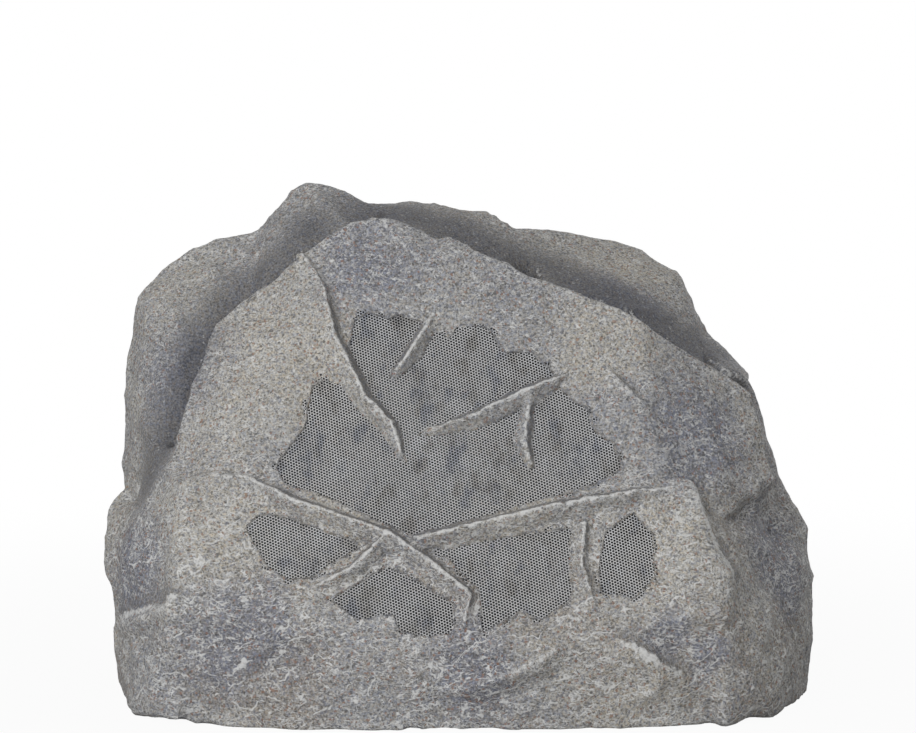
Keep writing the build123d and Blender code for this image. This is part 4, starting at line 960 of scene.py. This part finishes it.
# The crossover is a small circuit board on brass posts: two copper coils, two film capacitors in
# yellow wrap, a white ceramic resistor and a green block for the wires.
board = plain_finish("circuit_board", (0.040, 0.130, 0.062), (0.058, 0.165, 0.082), 380.0, 0.42)
tree = board.node_tree
place = tree.nodes["Texture Coordinate"].outputs["Object"]
tracks = wired(tree, "ShaderNodeTexBrick", {"Vector": place, "Color1": (0, 0, 0, 1),
                                            "Color2": (0, 0, 0, 1), "Mortar": (1, 1, 1, 1),
                                            "Scale": 1.0, "Mortar Size": 0.0007,
                                            "Brick Width": 0.021, "Row Height": 0.009})
base = tree.nodes["Principled BSDF"].inputs["Base Color"]
coat = base.links[0].from_socket
tree.links.new(mixed(tree, tracks.outputs["Color"], coat, (0.105, 0.235, 0.110, 1)), base)
coated(board, "crossover_board")
brass = plain_finish("turned_brass", (0.56, 0.40, 0.17), (0.68, 0.51, 0.24), 300.0, 0.3, 1.0)
coated(ridged(brass, waved(brass.node_tree, Matrix(), "BANDS", "Z", 0.0004), 0.00005),
       "crossover_standoffs")
winding = plain_finish("coil_wire", (0.44, 0.19, 0.08), (0.60, 0.28, 0.12), 140.0, 0.3, 0.9)
coated(ridged(winding, waved(winding.node_tree, Matrix(), "BANDS", "Z", 0.0011), 0.0003, 0.7),
       "crossover_coils")
coated(plain_finish("film_wrap", (0.48, 0.36, 0.060), (0.60, 0.47, 0.100),
                    70.0, 0.28, depth=0.0002), "crossover_capacitors")
coated(plain_finish("fired_ceramic", (0.64, 0.63, 0.59), (0.74, 0.73, 0.69),
                    550.0, 0.8, depth=0.0002), "crossover_resistor")
coated(plain_finish("green_block", (0.030, 0.190, 0.085), (0.045, 0.235, 0.110),
                    300.0, 0.36, depth=0.00005), "crossover_terminals")


# The stage is a pale floor that turns white away from the object and keeps its shadow, a white
# studio, a large soft box in front at the left, a weaker one behind, and the photograph's camera.
floor_shape = bmesh.new()
bmesh.ops.create_grid(floor_shape, x_segments=1, y_segments=1, size=6.0)
floor = standing("floor", floor_shape)
floor_finish = bpy.data.materials.new("pale_floor")
floor_finish.use_nodes = True
tree = floor_finish.node_tree
tree.nodes["Principled BSDF"].inputs["Base Color"].default_value = (0.45, 0.45, 0.45, 1)
tree.nodes["Principled BSDF"].inputs["Roughness"].default_value = 0.9
lit = wired(tree, "ShaderNodeEmission", {"Color": (1, 1, 1, 1), "Strength": 1.0})
rays = tree.nodes.new("ShaderNodeLightPath")
spot = wired(tree, "ShaderNodeVectorMath", {0: tree.nodes.new("ShaderNodeTexCoord").outputs["Object"]},
             operation="LENGTH").outputs["Value"]
far_out = spread(tree, spot, 0.25, 0.90, 0.95, 1.0)
seen = times(tree, rays.outputs["Is Camera Ray"], far_out)
blend = wired(tree, "ShaderNodeMixShader", {0: seen, 1: tree.nodes["Principled BSDF"].outputs[0],
                                            2: lit.outputs[0]})
tree.links.new(blend.outputs[0], tree.nodes["Material Output"].inputs["Surface"])
floor.data.materials.append(floor_finish)
floor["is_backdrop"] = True

world = bpy.data.worlds.new("studio")
bpy.context.scene.world = world
world.use_nodes = True
tree = world.node_tree
rays = tree.nodes.new("ShaderNodeLightPath")
direct = worked(tree, "MAXIMUM", rays.outputs["Is Camera Ray"], rays.outputs["Is Glossy Ray"])
direct = worked(tree, "MAXIMUM", direct, rays.outputs["Is Transmission Ray"])
tree.nodes["Background"].inputs["Color"].default_value = (1, 1, 1, 1)
tree.links.new(spread(tree, direct, 0.0, 1.0, 0.265, 1.0), tree.nodes["Background"].inputs["Strength"])


def lamp(name, place, aim, size, power):
    """Square soft box that points at a place."""
    light = bpy.data.lights.new(name, "AREA")
    light.size = size
    light.energy = power
    holder = bpy.data.objects.new(name, light)
    holder.location = place
    holder.rotation_euler = (Vector(aim) - Vector(place)).to_track_quat("-Z", "Y").to_euler()
    bpy.context.scene.collection.objects.link(holder)


lamp("key", (-0.80, -2.1, 1.10), (0, 0, 0.15), 2.0, 41)
lamp("back", (1.30, 2.0, 0.90), (0, 0, 0.15), 1.6, 20)

lens = bpy.data.cameras.new("photo_camera")
lens.sensor_width = 36.0
lens.lens = 134.1
camera = bpy.data.objects.new("photo_camera", lens)
camera.location = (0, -2.3396, 0.4851)
camera.rotation_euler = (math.radians(90 - 6.606), 0, 0)
bpy.context.scene.collection.objects.link(camera)
bpy.context.scene.camera = camera
bpy.context.scene.view_settings.view_transform = "Standard"

low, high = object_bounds()
